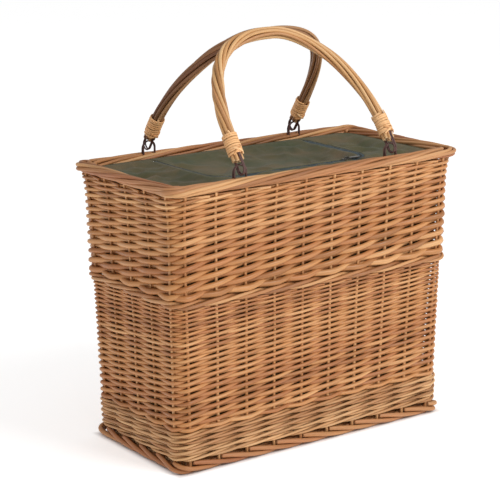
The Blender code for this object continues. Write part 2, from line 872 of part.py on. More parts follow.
def zip_parts(hinge):
    """Slider at the closed, right end of the zip's straight run, riding on the flap."""
    reach = ZIP_HALF_LENGTH - ZIP_CORNER_RADIUS - SLIDER_INSET
    slide = empty("zip_slide", (reach, -ZIP_FRONT - LID_HINGE, 0.0), parent=hinge)
    slider(slide)
    lift = CLEARANCE + SLIDER_PLATE + BRIDGE_OPENING / 2
    swing = empty("zip_pull_hinge", (0.0, 0.0, lift), parent=slide)
    pull(swing)


def woven_body():
    foot_border()
    base_panel()
    upsett_top = FOOT_HEIGHT + CLEARANCE + UPSETT_HEIGHT
    upsett_wale(FOOT_HEIGHT + CLEARANCE, upsett_top)
    waist_bottom = WAIST_LEVEL - WAIST_HEIGHT / 2 - CLEARANCE
    waist_top = WAIST_LEVEL + WAIST_HEIGHT / 2 + CLEARANCE
    lower_bottom = upsett_top + CLEARANCE
    weave_band("lower_weave", lower_bottom, waist_bottom, LOWER_COURSES, LOWER_BUTT_SHARE)
    waist_depth = WALL + 2 * WAIST_PROUD
    rope_ring("waist_wale", WAIST_LEVEL, WAIST_HEIGHT, waist_depth, WALL / 2, WAIST_LAY)
    upper_top = BODY_TOP - CLEARANCE
    weave_band("upper_weave", waist_top, upper_top, UPPER_COURSES, UPPER_BUTT_SHARE)
    border_level = BODY_HEIGHT - BORDER_HEIGHT / 2
    border_inset = BORDER_DEPTH / 2 - BORDER_OVERHANG
    rope_ring("top_border", border_level, BORDER_HEIGHT, BORDER_DEPTH, border_inset, BORDER_LAY)


def main():
    clear_scene()
    woven_body()
    handles()
    cooler_bag()
    hinge = lid()
    zip_parts(hinge)


main()
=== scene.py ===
"""Looks of a wicker cooler basket: willow rods woven one by one, a zipped tweed bag, studio light.

Metres, +Z up. Places round the wall are given in stakes: stake 0 stands at the start of the
corner at +X and -Y, and the count runs anticlockwise seen from above.
"""
import json
import math
import random

import bpy
import numpy as np
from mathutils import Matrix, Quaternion, Vector, geometry


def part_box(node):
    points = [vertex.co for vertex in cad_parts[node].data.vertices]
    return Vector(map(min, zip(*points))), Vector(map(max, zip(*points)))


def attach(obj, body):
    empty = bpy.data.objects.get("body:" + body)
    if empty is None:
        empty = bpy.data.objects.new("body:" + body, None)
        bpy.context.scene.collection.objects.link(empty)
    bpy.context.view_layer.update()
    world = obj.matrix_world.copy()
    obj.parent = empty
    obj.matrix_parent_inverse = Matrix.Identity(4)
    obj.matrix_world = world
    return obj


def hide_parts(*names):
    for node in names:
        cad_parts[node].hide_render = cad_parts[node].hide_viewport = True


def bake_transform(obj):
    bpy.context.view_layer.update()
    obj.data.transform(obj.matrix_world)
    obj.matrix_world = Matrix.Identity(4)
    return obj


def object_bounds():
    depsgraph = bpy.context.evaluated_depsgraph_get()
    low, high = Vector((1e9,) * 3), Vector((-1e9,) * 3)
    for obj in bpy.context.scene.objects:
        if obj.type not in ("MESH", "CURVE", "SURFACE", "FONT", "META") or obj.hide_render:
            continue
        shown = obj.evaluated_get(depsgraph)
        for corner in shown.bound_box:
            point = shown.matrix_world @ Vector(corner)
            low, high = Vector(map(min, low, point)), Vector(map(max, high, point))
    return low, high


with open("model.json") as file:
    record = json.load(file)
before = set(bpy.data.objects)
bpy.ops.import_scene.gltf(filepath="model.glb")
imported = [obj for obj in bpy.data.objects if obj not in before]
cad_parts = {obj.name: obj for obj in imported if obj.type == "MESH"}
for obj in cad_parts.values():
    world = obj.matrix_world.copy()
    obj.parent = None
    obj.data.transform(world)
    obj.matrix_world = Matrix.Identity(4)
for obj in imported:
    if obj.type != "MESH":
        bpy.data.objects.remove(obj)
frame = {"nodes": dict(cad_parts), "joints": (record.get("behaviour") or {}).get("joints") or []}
cad_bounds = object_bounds()

# Camera, fitted to the photograph
CAMERA_AZIMUTH = -34.955
CAMERA_ELEVATION = 13.753
CAMERA_ROLL = -0.647
CAMERA_DISTANCE = 2.3218
CAMERA_TARGET = (-0.0312, 0.0, 0.2443)
FOCAL_PIXELS = 1768.38
IMAGE_PIXELS = 500.0
SENSOR_WIDTH = 36.0

# Studio: lights have a name, a place, a size and a power
FLOOR_SIZE = 12
FLOOR_GLOW = 0.46
GLOW_FROM = -0.006
GLOW_TO = 0.004
BACKGROUND = 0.56
LIGHTS = (("key", (0.9, -2.1, 2.0), 1.4, 43.5), ("fill", (-1.9, -1.2, 1.4), 2.0, 2.0))
LIGHT_TARGET = (0, 0, 0.2)

# Wall and its stakes
CORNER_RADIUS = 0.018
WALL_HALF = 0.0045
WALL_FLARE = 0.0035
WALL_FLARE_START = 0.318
FRONT_SPACES = 9
SIDE_SPACES = 4
STAKES = 2 * (FRONT_SPACES + SIDE_SPACES) + 4
STAKE_BUTT = 0.0022
STAKE_TIP = 0.0019
STAKE_SWAY_STAKES = 0.010
STAKE_WOBBLE = 0.0002
ROD_WOBBLE = 0.0003

# Weavers of the two randed bands, with the height of a round at the butts against the average
LOWER_ROUNDS = 22
LOWER_BUTT_SHARE = 1.32
UPPER_ROUNDS = 13
UPPER_BUTT_SHARE = 1.36
WEAVER_FILL_SHARE = 0.57
WEAVER_PRESS = 0.0013
WEAVER_WOBBLE = 0.00018
WEAVER_TAIL_ROUNDS = 0.62
WEAVER_END_ROUNDS = 0.12
TAIL_DROP_SHARE = 0.35
POINTS_PER_STAKE = 8

# Waling
UPSETT_COURSES = 5
WALE_STRANDS = 3
WALE_PIECES = 3
WALE_OVERLAP_STAKES = 0.35
WALE_FILL_SHARE = 0.245

# Rolled border and foot, with the turns of their rods as shares of half a turn
BORDER_ROD = 0.0026
BORDER_DEPTH = 0.019
BORDER_REACH_STAKES = 6.6
BORDER_START_SHARE = -0.62
BORDER_TURN_SHARE = 1.86
BORDER_PUSH = 0.0055
BORDER_PUSH_STAKES = 0.45
BORDER_PULL = 0.0065
BORDER_PULL_STAKES = 0.8
BORDER_WOBBLE = 0.0004
FOOT_ROD = 0.0032
FOOT_DEPTH = 0.017
FOOT_START_STAKES = 0.08
FOOT_REACH_STAKES = 3.1
FOOT_START_SHARE = 0.42
FOOT_TURN_SHARE = -1.55
FOOT_PUSH = 0.004
FOOT_PUSH_STAKES = 0.5

# Base
BASE_STICKS = 14
BASE_STICK = 0.0018
BASE_ROD = 0.0022
BASE_HOOP = 0.0036

# Handles, with their twists as starts, ends and turns
HANDLE_REACH = {"front": 0.1727, "rear": 0.1707}
HANDLE_SHOULDER_SHARES = {"front": (1.85, 2.75), "rear": (3.15, 2.00)}
HANDLE_TWIST_SHARES = {"front": ((0.06, 0.50, 0.34), (0.50, 0.96, -0.92)), "rear": ((0.04, 0.96, 0.95),)}
HANDLE_LEG = 0.020
HANDLE_END = 0.0035
HANDLE_RODS = 7
HANDLE_LAY_RADIUS = 0.0057
HANDLE_ROD = 0.00235
HANDLE_WOBBLE = 0.0004
HANDLE_CORE = 0.0030
CORE_END = 0.0058

# Cane windings: crossings have two angles and two heights, and stubs an angle and a length
WINDING_START = 0.0135
WINDING_PITCH = 0.0031
WINDING_TURNS = 8.6
WINDING_TILT = 0.0004
CANE_HALF_WIDTH = 0.00146
CANE_FLATNESS = 0.62
CANE_GAP = 0.0002
CANE_WOBBLE = 0.00012
CROSSING_SHARES = ((-2.3, -0.7, 0.30, -0.06), (-0.9, -2.4, 0.24, -0.06))
STUBS = ((-1.2, 0.006), (2.4, 0.005))
STUB_SEAT = 0.003
STUB_LIFT = 0.0006

# Loops of doubled wire
WIRE_RADIUS = 0.00105
WIRE_APART = 0.00110
WIRE_SPREAD = 0.0006
LOOP_LEG_RADIUS = 0.0072
LOOP_LEG_TOP = 0.024
LOOP_NEST = 0.0004
LOOP_HANG_SHARE = 0.93
RIM_LOOP_SEAT = 0.0085

# Bag's slack top: how it is held, sags and creases. Folds have a stretch along X and a count
SHEET_STEP = 0.0042
SHEET_SLACK = 0.045
SHEET_FRAMES = 55
SAG_LIMIT = 0.009
RIM_LAP = 0.0035
ZIP_LAP = 0.0062
HELD_FADE = 0.020
LONG_WAVE = 0.0022
SHORT_WAVE = 0.0018
PUCKER = 0.0005
FOLDS = ((-0.200, -0.128, 12), (-0.110, 0.110, 22), (0.130, 0.200, 18))
FOLD_HEIGHTS = (0.0024, 0.0056)
FOLD_WIDTHS = (0.0045, 0.0085)
FOLD_LENGTHS = (0.014, 0.034)

# Bag's cloths
BAG_CORNER_RADIUS = 0.020
RIM_INSET = 0.0006
PIPING = 0.0015
PIPING_INSET = 0.0004
PIPING_SINK = 0.0006
CLOTH = 0.0013
CLOTH_LIFT = 0.0006
CLOTH_EDGE = 0.0046
CLOTH_NEAR_EDGE = 0.0016
SEAM_GAP = 0.0004
SEAM_BACK = 0.002
CORNER_GAP = 0.001
FLAP_PADDING = 0.0034
LINING = 0.0008
LINING_EDGE = 0.001
SHELL = 0.0012
FOAM = 0.005
FOAM_INSET = 0.0015
LINING_INSET = 0.0068
CREASE = 0.0009
FLOOR_SHARES = (0.04, 0.3, 0.6, 0.85)

# Zip
ZIP_CORNER_RADIUS = 0.035
ZIP_HALF_GAP = 0.0008
ZIP_OPEN_FROM = -0.118
ZIP_OPEN_TO = -0.096
ZIP_STEP = 0.0025
TAPE_WIDTH = 0.006
TAPE_THICKNESS = 0.0007
TAPE_SINK = 0.0001
TAPE_BACK = 0.003
TOOTH = 0.00052
TOOTH_PITCH = 0.0019
TOOTH_OUTER = 0.0011
TOOTH_INNER = 0.0009
STITCH = 0.00026
STITCH_PITCH = 0.0034
STITCH_SEAM = 0.0022
STITCH_RISE = 0.0006
STITCH_LIFT = 0.0002
METAL_EDGE = 0.00025

# Relief of the skins and cloths, from their lowest places to their highest
WILLOW_RELIEF = 0.00025
WIRE_RELIEF = 0.0002
TWEED_RELIEF = 0.0003
HERRINGBONE_WIDTH = 0.006
TAPE_RELIEF = 0.00015
THREAD_RELIEF = 0.0001
LINING_RELIEF = 0.0012
FOAM_RELIEF = 0.0003
METAL_RELIEF = 0.00005

# Half the stretch that slopes and tangents are taken over, and how near counts as level
SPREAD = 0.002
SAME_LEVEL = 0.00001
UP = (0, 0, 1)

rng = random.Random(11)


# Small helpers

def linear(colour):
    """Screen colour, 0 to 255, as a linear colour."""
    made = []
    for value in colour:
        share = value / 255
        made.append(share / 12.92 if share <= 0.04045 else ((share + 0.055) / 1.055) ** 2.4)
    return (*made, 1.0)


def unit(vectors):
    return vectors / np.linalg.norm(vectors, axis=-1, keepdims=True)


def ripple(values, seed, size):
    """Smooth irregular values of about one size, the same on each run."""
    source = random.Random(seed)
    total = np.zeros_like(values)
    for wave in (0.37, 0.83, 1.71):
        turned = values * wave * source.uniform(0.8, 1.25) + source.uniform(0, 6.3)
        total += math.sqrt(1 / 3) * np.sin(turned)
    return total * size


def eased(values, start, end):
    share = np.clip((values - start) / (end - start), 0, 1)
    return share * share * (3 - 2 * share)


def lengths_along(line):
    """How far along a polyline each of its points is."""
    return np.concatenate(([0.0], np.cumsum(np.linalg.norm(np.diff(line, axis=0), axis=1))))


def points_along(line, distances):
    lengths = lengths_along(line)
    return np.stack([np.interp(distances, lengths, values) for values in line.T], axis=-1)


def spaced(line, count):
    """A polyline with its points moved to even spaces along it."""
    return points_along(line, np.linspace(0, lengths_along(line)[-1], count))


def rounded_outline(half_x, half_y, radius, count):
    """Evenly spaced points round a rounded rectangle, anticlockwise from the middle of its +X side."""
    corners = []
    for index, (sx, sy) in enumerate(((1, 1), (-1, 1), (-1, -1), (1, -1))):
        angle = index * math.pi / 2 + np.linspace(0, math.pi / 2, 13)
        middle = np.array((sx * (half_x - radius), sy * (half_y - radius)))
        corners.append(middle + radius * np.stack((np.cos(angle), np.sin(angle)), axis=1))
    start = np.array([[half_x, 0.0]])
    return spaced(np.concatenate((start, *corners, start)), count + 1)[:-1]


def hoop(half_x, half_y, radius, height, count):
    """Closed path round a rounded rectangle at one height."""
    ring = rounded_outline(half_x, half_y, radius, count)
    ring = np.concatenate((ring, ring[:1]))
    return np.concatenate((ring, np.full((count + 1, 1), height)), axis=1)


def joint_place(name):
    return np.array(next(joint for joint in frame["joints"] if joint["name"] == name)["pos_m"], float)


# Meshes

def tube_faces(rings, sides):
    """Faces that join rings of points into a tube."""
    start = np.arange(rings - 1)[:, None] * sides
    here = start + np.arange(sides)
    ahead = start + (np.arange(sides) + 1) % sides
    return np.stack((here, ahead, ahead + sides, here + sides), axis=2).reshape(-1, 4).tolist()


def smooth_mesh(name, points, faces, **layers):
    """A smooth mesh whose vertices keep vectors, such as their place in the grain."""
    mesh = bpy.data.meshes.new(name)
    mesh.from_pydata(points.tolist(), [], faces)
    for layer_name, vectors in layers.items():
        layer = mesh.attributes.new(layer_name, "FLOAT_VECTOR", "POINT")
        layer.data.foreach_set("vector", vectors.astype(np.float32).ravel())
    mesh.shade_smooth()
    return mesh


def put(name, mesh, finish, body, nodes=()):
    """Put a mesh in the scene in place of some nodes. It rides on a body, if one is given."""
    made = bpy.data.objects.new(name, mesh)
    bpy.context.scene.collection.objects.link(made)
    mesh.materials.append(finish)
    if body:
        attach(made, body)
    if nodes:
        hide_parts(*nodes)
    return made


class Rods:
    """Round rods gathered into one mesh. Each vertex keeps its place along and round its rod."""

    def __init__(self, name, sides):
        self.name = name
        self.sides = sides
        self.points = []
        self.faces = []
        self.grain = []
        self.tone = []
        self.count = 0

    def add(self, path, radii, facing, tone=None, flatness=1.0, butt=0.0, tip=0.0, sides=None):
        """facing is a direction, or one for each point, that the section's first axis follows."""
        path = np.asarray(path, float)
        count = len(path)
        sides = sides or self.sides
        radii = np.broadcast_to(np.asarray(radii, float), (count,))[:, None]
        along = unit(np.gradient(path, axis=0))
        facing = np.broadcast_to(np.asarray(facing, float), path.shape)
        first = unit(facing - (facing * along).sum(1, keepdims=True) * along)
        second = np.cross(along, first)
        angles = np.arange(sides) * 2 * math.pi / sides
        across = first[:, None] * np.cos(angles)[None, :, None] * flatness
        across = across + second[:, None] * np.sin(angles)[None, :, None]
        rings = path[:, None] + across * radii[:, :, None]
        grain = np.zeros((count, sides, 3))
        grain[:, :, 0] = (lengths_along(path) + rng.uniform(0, 40))[:, None]
        grain[:, :, 1] = np.cos(angles)[None] * radii
        grain[:, :, 2] = np.sin(angles)[None] * radii
        tone = tone or (rng.random(), rng.random())
        self._join(rings, grain, (*tone, 0.0), tube_faces(count, sides))
        self._cap(rings[0], -along[0], grain[0], (*tone, butt), True)
        self._cap(rings[-1], along[-1], grain[-1], (*tone, tip), False)

    def _cap(self, ring, outward_end, grain, tone, reverse):
        """Close an end. A third tone above 0 shows it as pale cut wood."""
        sides = len(ring)
        middle = ring.mean(0)
        rise = outward_end * np.linalg.norm(ring[0] - middle) * 0.22
        rings = np.stack((ring, middle + (ring - middle) * 0.72 + rise))
        faces = [*tube_faces(2, sides), list(range(sides, 2 * sides))]
        if reverse:
            faces = [face[::-1] for face in faces]
        self._join(rings, np.stack((grain, grain)), tone, faces)

    def _join(self, rings, grain, tone, faces):
        points = rings.reshape(-1, 3)
        self.points.append(points)
        self.grain.append(grain.reshape(-1, 3))
        self.tone.append(np.tile(tone, (len(points), 1)))
        self.faces.extend([corner + self.count for corner in face] for face in faces)
        self.count += len(points)

    def make(self, finish, body, nodes=()):
        layers = {"grain": np.concatenate(self.grain), "tone": np.concatenate(self.tone)}
        mesh = smooth_mesh(self.name, np.concatenate(self.points), self.faces, **layers)
        mesh.set_sharp_from_angle(angle=math.radians(60))
        return put(self.name, mesh, finish, body, nodes)


# Materials. Colours are given as on screen, 0 to 255

class Shading:
    """A material's node tree, with short ways to add and join nodes."""

    def __init__(self, name):
        self.material = bpy.data.materials.new(name)
        self.material.use_nodes = True
        self.tree = self.material.node_tree
        self.shader = self.tree.nodes["Principled BSDF"]

    def add(self, kind, inputs=None, **settings):
        node = self.tree.nodes.new(kind)
        for key, value in settings.items():
            setattr(node, key, value)
        for key, value in (inputs or {}).items():
            self.set(node.inputs[key], value)
        return node

    def set(self, socket, value):
        if isinstance(value, bpy.types.NodeSocket):
            self.tree.links.new(value, socket)
        else:
            socket.default_value = value

    def shade(self, **inputs):
        for key, value in inputs.items():
            self.set(self.shader.inputs[key.replace("_", " ")], value)

    def attribute(self, name):
        return self.add("ShaderNodeAttribute", attribute_name=name).outputs["Vector"]

    def split(self, vector):
        return self.add("ShaderNodeSeparateXYZ", {0: vector}).outputs

    def noise(self, vector, scales, detail=3.0, roughness=0.55):
        """Noise with its own scale along each axis."""
        mapping = self.add("ShaderNodeMapping", {"Vector": vector, "Scale": scales})
        inputs = {"Vector": mapping.outputs[0], "Scale": 1.0, "Detail": detail, "Roughness": roughness}
        return self.add("ShaderNodeTexNoise", inputs).outputs[0]

    def ramp(self, value, *stops):
        node = self.add("ShaderNodeValToRGB", {0: value})
        elements = node.color_ramp.elements
        while len(elements) < len(stops):
            elements.new(0.5)
        for element, (position, colour) in zip(elements, stops):
            element.position = position
            element.color = linear(colour)
        return node.outputs[0]

    def mix(self, share, first, second, blend="MIX"):
        node = self.add("ShaderNodeMix", {0: share}, data_type="RGBA", blend_type=blend)
        for socket, colour in ((node.inputs[6], first), (node.inputs[7], second)):
            self.set(socket, linear(colour) if isinstance(colour, tuple) else colour)
        return node.outputs[2]

    def dimmed(self, colour, share):
        """A colour times a share of light."""
        grey = self.add("ShaderNodeCombineColor", {0: share, 1: share, 2: share}).outputs[0]
        return self.mix(1.0, colour, grey, "MULTIPLY")

    def math(self, operation, first, second=0.0, third=0.0):
        node = self.add("ShaderNodeMath", {0: first, 1: second, 2: third}, operation=operation)
        return node.outputs[0]

    def ribs(self, along, across, per_metre):
        """Slanting ribs, 0 to 0.5 high."""
        turned = self.math("MULTIPLY", self.math("ADD", along, across), per_metre)
        return self.math("PINGPONG", self.math("FRACT", turned), 0.5)

    def span(self, value, low, high, to_low=0.0, to_high=1.0):
        inputs = {0: value, 1: low, 2: high, 3: to_low, 4: to_high}
        return self.add("ShaderNodeMapRange", inputs).outputs[0]

    def bump(self, height, distance, strength):
        inputs = {"Height": height, "Distance": distance, "Strength": strength}
        self.shade(Normal=self.add("ShaderNodeBump", inputs).outputs[0])


def willow(name, dark, middle, light, red, roughness=0.42):
    """Peeled willow: each rod has its own tone, with long streaks, knots and a satin skin."""
    made = Shading(name)
    grain = made.attribute("grain")
    tone = made.split(made.attribute("tone"))
    streaks = made.noise(grain, (14.0, 900.0, 900.0), 4.0)
    patches = made.noise(grain, (9.0, 40.0, 40.0), 2.0)
    level = made.math("MULTIPLY_ADD", tone["X"], 0.62, made.math("MULTIPLY", patches, 0.42))
    body = made.ramp(level, (0.12, dark), (0.50, middle), (0.95, light))
    body = made.mix(made.span(tone["Y"], 0.55, 1.0, 0.0, 0.5), body, red)
    body = made.dimmed(body, made.span(streaks, 0.30, 0.72, 0.76, 1.12))
    specks = made.noise(grain, (120.0, 420.0, 420.0), 2.0)
    body = made.mix(made.span(specks, 0.74, 0.80, 0.0, 0.55), body, (78, 42, 22))
    cut = made.mix(made.span(streaks, 0.3, 0.7), (214, 176, 128), (238, 210, 168))
    body = made.mix(tone["Z"], body, cut)
    rough = made.span(streaks, 0.25, 0.75, roughness - 0.07, roughness + 0.16)
    made.shade(Base_Color=body, Roughness=rough, Specular_IOR_Level=0.42)
    made.bump(streaks, WILLOW_RELIEF, 0.55)
    return made.material


def buff_willow():
    return willow("buff_willow", (122, 70, 34), (194, 134, 80), (238, 188, 132), (174, 106, 64), 0.36)


def border_willow():
    return willow("border_willow", (112, 64, 34), (182, 124, 76), (218, 168, 114), (160, 90, 58))


def upsett_willow():
    return willow("upsett_willow", (106, 66, 34), (182, 130, 82), (228, 184, 132), (166, 104, 66))


def handle_willow():
    return willow("handle_willow", (112, 68, 34), (200, 146, 90), (238, 196, 142), (166, 106, 66), 0.36)


# Rear handle: a darker copy of the handle willow, as painted shade.
def rear_handle_willow():
    return willow("rear_handle_willow", (70, 44, 26), (150, 104, 68), (204, 158, 110), (116, 70, 46), 0.38)


def cane():
    return willow("split_cane", (196, 130, 74), (240, 180, 120), (252, 214, 164), (222, 150, 98))


def dark_wire():
    """Dark brown skin of the wire loops, worn paler in patches."""
    made = Shading("dark_loops")
    cloud = made.noise(made.attribute("grain"), (160.0, 900.0, 900.0))
    body = made.ramp(cloud, (0.30, (58, 34, 32)), (0.60, (94, 60, 54)), (0.85, (136, 98, 84)))
    made.shade(Base_Color=body, Roughness=made.span(cloud, 0.3, 0.8, 0.36, 0.62))
    made.bump(cloud, WIRE_RELIEF, 0.5)
    return made.material


def tweed():
    """Olive herringbone tweed: fine slanting ribs that turn each few millimetres, flecked and mottled."""
    made = Shading("green_tweed")
    grain = made.attribute("grain")
    spot = made.split(grain)
    yarn = made.ribs(spot["X"], made.math("PINGPONG", spot["Y"], HERRINGBONE_WIDTH), 620.0)
    fleck = made.noise(grain, (2600.0, 2600.0, 2600.0), 2.0)
    cloud = made.noise(grain, (13.0, 19.0, 13.0))
    wide = made.noise(grain, (70.0, 90.0, 70.0))
    body = made.ramp(cloud, (0.32, (76, 82, 58)), (0.50, (95, 88, 61)), (0.68, (110, 94, 68)))
    body = made.mix(made.span(wide, 0.35, 0.75, 0.0, 0.5), body, (74, 82, 64))
    light = made.math("MULTIPLY_ADD", yarn, 0.5, made.span(fleck, 0.3, 0.7, 0.62, 1.05))
    rough = made.span(fleck, 0.3, 0.7, 0.82, 0.98)
    made.shade(Base_Color=made.dimmed(body, light), Roughness=rough, Specular_IOR_Level=0.2)
    made.shade(Sheen_Weight=0.08, Sheen_Roughness=0.5)
    made.bump(made.math("MULTIPLY_ADD", fleck, 0.5, yarn), TWEED_RELIEF, 0.6)
    return made.material


def twill_tape():
    """Blue grey twill tape."""
    made = Shading("zip_tape")
    grain = made.attribute("grain")
    spot = made.split(grain)
    yarn = made.ribs(spot["X"], spot["Y"], 1150.0)
    worn = made.noise(grain, (60.0, 300.0, 60.0))
    body = made.ramp(worn, (0.3, (52, 68, 76)), (0.6, (74, 92, 98)), (0.85, (104, 120, 122)))
    body = made.dimmed(body, made.span(yarn, 0.0, 0.5, 0.72, 1.08))
    made.shade(Base_Color=body, Roughness=made.span(worn, 0.3, 0.8, 0.74, 0.92))
    made.bump(yarn, TAPE_RELIEF, 0.6)
    return made.material


def thread():
    """Olive sewing thread with its twist."""
    made = Shading("tweed_thread")
    spot = made.split(made.attribute("grain"))
    turned = made.math("MULTIPLY", made.math("ADD", spot["X"], spot["Y"]), 1500.0)
    twist = made.math("PINGPONG", turned, 1.0)
    body = made.mix(twist, (96, 96, 72), (128, 124, 96))
    made.shade(Base_Color=body, Roughness=made.span(twist, 0.0, 1.0, 0.6, 0.8))
    made.bump(twist, THREAD_RELIEF, 0.5)
    return made.material


def silver():
    """Silvered lining: crinkled, with painted highlight on its ridges and painted shade in its hollows, and
    a roughness that varies in a finer grain.
    """
    made = Shading("silver_lining")
    grain = made.attribute("grain")
    crinkle = made.noise(grain, (110.0, 110.0, 110.0), 4.0, 0.62)
    fine = made.noise(grain, (700.0, 700.0, 700.0), 2.0)
    # The colour follows the crinkles' height: painted highlight on the ridges, painted shade in the hollows.
    body = made.ramp(crinkle, (0.3, (150, 153, 156)), (0.6, (186, 189, 191)), (0.8, (214, 216, 217)))
    made.shade(Base_Color=body, Roughness=made.span(fine, 0.3, 0.7, 0.28, 0.48), Metallic=0.7)
    made.bump(crinkle, LINING_RELIEF, 0.6)
    return made.material


def foam():
    """White foam wadding: a fine open grain, slightly yellowed in patches."""
    made = Shading("insulation")
    grain = made.attribute("grain")
    cells = made.noise(grain, (900.0, 900.0, 900.0))
    patches = made.noise(grain, (20.0, 20.0, 20.0), 2.0)
    body = made.mix(patches, (232, 230, 222), (242, 242, 240))
    body = made.mix(made.span(cells, 0.3, 0.6, 0.25, 0.0), body, (186, 184, 178))
    made.shade(Base_Color=body, Roughness=made.span(cells, 0.3, 0.7, 0.85, 0.98))
    made.bump(cells, FOAM_RELIEF, 0.6)
    return made.material


def metal(name, dark, light):
    """Dark nickel plating, scuffed in long streaks."""
    made = Shading(name)
    where = made.add("ShaderNodeTexCoord").outputs["Object"]
    scuffs = made.noise(where, (900.0, 260.0, 900.0), 4.0)
    cloud = made.noise(where, (240.0, 240.0, 240.0), 2.0)
    level = made.math("MULTIPLY_ADD", scuffs, 0.6, made.math("MULTIPLY", cloud, 0.4))
    body = made.ramp(level, (0.35, dark), (0.7, light))
    made.shade(Base_Color=body, Roughness=made.span(scuffs, 0.3, 0.75, 0.24, 0.46), Metallic=1.0)
    made.bump(scuffs, METAL_RELIEF, 0.4)
    return made.material


def white_paper():
    """The floor's white paper. It glows a little, but not under the basket."""
    made = Shading("white_floor")
    foot_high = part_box("foot_border")[1]
    spot = made.split(made.add("ShaderNodeNewGeometry").outputs["Position"])
    across = made.math("SUBTRACT", made.math("ABSOLUTE", spot["X"]), foot_high.x)
    ahead = made.math("SUBTRACT", made.math("ABSOLUTE", spot["Y"]), foot_high.y)
    glow = made.span(made.math("MAXIMUM", across, ahead), GLOW_FROM, GLOW_TO, 0.0, FLOOR_GLOW)
    made.shade(Base_Color=(0.93, 0.93, 0.93, 1.0), Roughness=0.9)
    made.shade(Emission_Color=(1, 1, 1, 1), Emission_Strength=glow)
    return made.material


# The wall, as a path round the body

def wall_table():
    """For each stake: the share of the way to the corner centres along X and Y, and its direction."""
    rows = []
    signs = ((1, -1), (1, 1), (-1, 1), (-1, -1))
    for corner, (sx, sy) in enumerate(signs):
        next_x, next_y = signs[(corner + 1) % 4]
        spaces = SIDE_SPACES if corner % 2 == 0 else FRONT_SPACES
        direction = (corner - 1) * math.pi / 2
        rows.append((sx, sy, direction))
        for step in range(spaces):
            share = step / spaces
            rows.append((sx + (next_x - sx) * share, sy + (next_y - sy) * share, direction + math.pi / 2))
    rows.append((1, -1, 1.5 * math.pi))
    return np.array(rows, float)


def ring_half_size(node, top):
    """Half length and width over one end of a solid, and its height."""
    coordinates = np.array([vertex.co for vertex in frame["nodes"][node].data.vertices])
    level = coordinates[:, 2].max() if top else coordinates[:, 2].min()
    ring = coordinates[np.abs(coordinates[:, 2] - level) < SAME_LEVEL]
    return ring[:, 0].max(), ring[:, 1].max(), level


WALL_TABLE = wall_table()
CORNER_STARTS = (0, SIDE_SPACES + 1, SIDE_SPACES + FRONT_SPACES + 2, STAKES - FRONT_SPACES - 1)
CORNER_STAKES = np.array(CORNER_STARTS) + 0.5
LOW_X, LOW_Y, LOW_Z = ring_half_size("lower_weave", False)
HIGH_X, HIGH_Y, HIGH_Z = ring_half_size("upper_weave", True)


def in_table(stake, column):
    return np.interp(np.mod(stake, STAKES), np.arange(STAKES + 1), WALL_TABLE[:, column])


def wall(stake, height, out=0.0):
    """Points at places round the wall, at heights and at distances outwards from its middle."""
    stake, height, out = np.broadcast_arrays(*(np.asarray(value, float) for value in (stake, height, out)))
    share_x, share_y, direction = (in_table(stake, column) for column in range(3))
    rise = (height - LOW_Z) / (HIGH_Z - LOW_Z)
    half_x = LOW_X + (HIGH_X - LOW_X) * rise - CORNER_RADIUS
    half_y = LOW_Y + (HIGH_Y - LOW_Y) * rise - CORNER_RADIUS
    flare = WALL_FLARE * np.clip((height - WALL_FLARE_START) / (HIGH_Z - WALL_FLARE_START), 0, 1) ** 2
    reach = CORNER_RADIUS - WALL_HALF + out + flare
    x = share_x * half_x + reach * np.cos(direction)
    y = share_y * half_y + reach * np.sin(direction)
    return np.stack((x, y, height), axis=-1)


def outward(stake):
    """Horizontal direction out of the wall."""
    direction = in_table(stake, 2)
    return np.stack((np.cos(direction), np.sin(direction), np.zeros_like(direction)), axis=-1)


def ring_out(outer_x, height, depth):
    """How far out of the wall the middle of a ring of rods is, from its outer side and its depth."""
    return outer_x - wall(SIDE_SPACES / 2 + 1, height)[0] - depth / 2


def near_corner(stake, reach):
    """1 at a corner, and less the more stakes away from it."""
    apart = np.abs(np.mod(stake[:, None] - CORNER_STAKES + STAKES / 2, STAKES) - STAKES / 2).min(1)
    return np.exp(-(apart / reach) ** 2)


# Woven body

def stakes():
    rods = Rods("stakes", 8)
    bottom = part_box("foot_border")[1].z / 2
    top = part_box("top_border")[0].z + BORDER_ROD
    heights = np.linspace(bottom, top, 46)
    for number in range(STAKES):
        sway = ripple(heights * 40, number + 5, STAKE_SWAY_STAKES)
        out = ripple(heights * 30, number + 105, STAKE_WOBBLE)
        radii = np.linspace(STAKE_BUTT, STAKE_TIP, len(heights)) * rng.uniform(0.94, 1.06)
        tone = (rng.uniform(0.35, 0.95), rng.random() * 0.8)
        rods.add(wall(number + sway, heights, out), radii, outward(number), tone)
    rods.make(buff_willow_finish, "basket")


def round_heights(bottom, top, rounds, butt_share):
    """Counts of rounds, the heights at which they begin and how tall they are, taller at the butts."""
    share = np.linspace(0, 1, rounds * 8 + 1)
    speed = butt_share + 2 * (1 - butt_share) * share
    risen = np.concatenate(([0.0], np.cumsum((speed[1:] + speed[:-1]) / 2 * np.diff(share))))
    return share * rounds, bottom + (top - bottom) * risen / risen[-1], speed


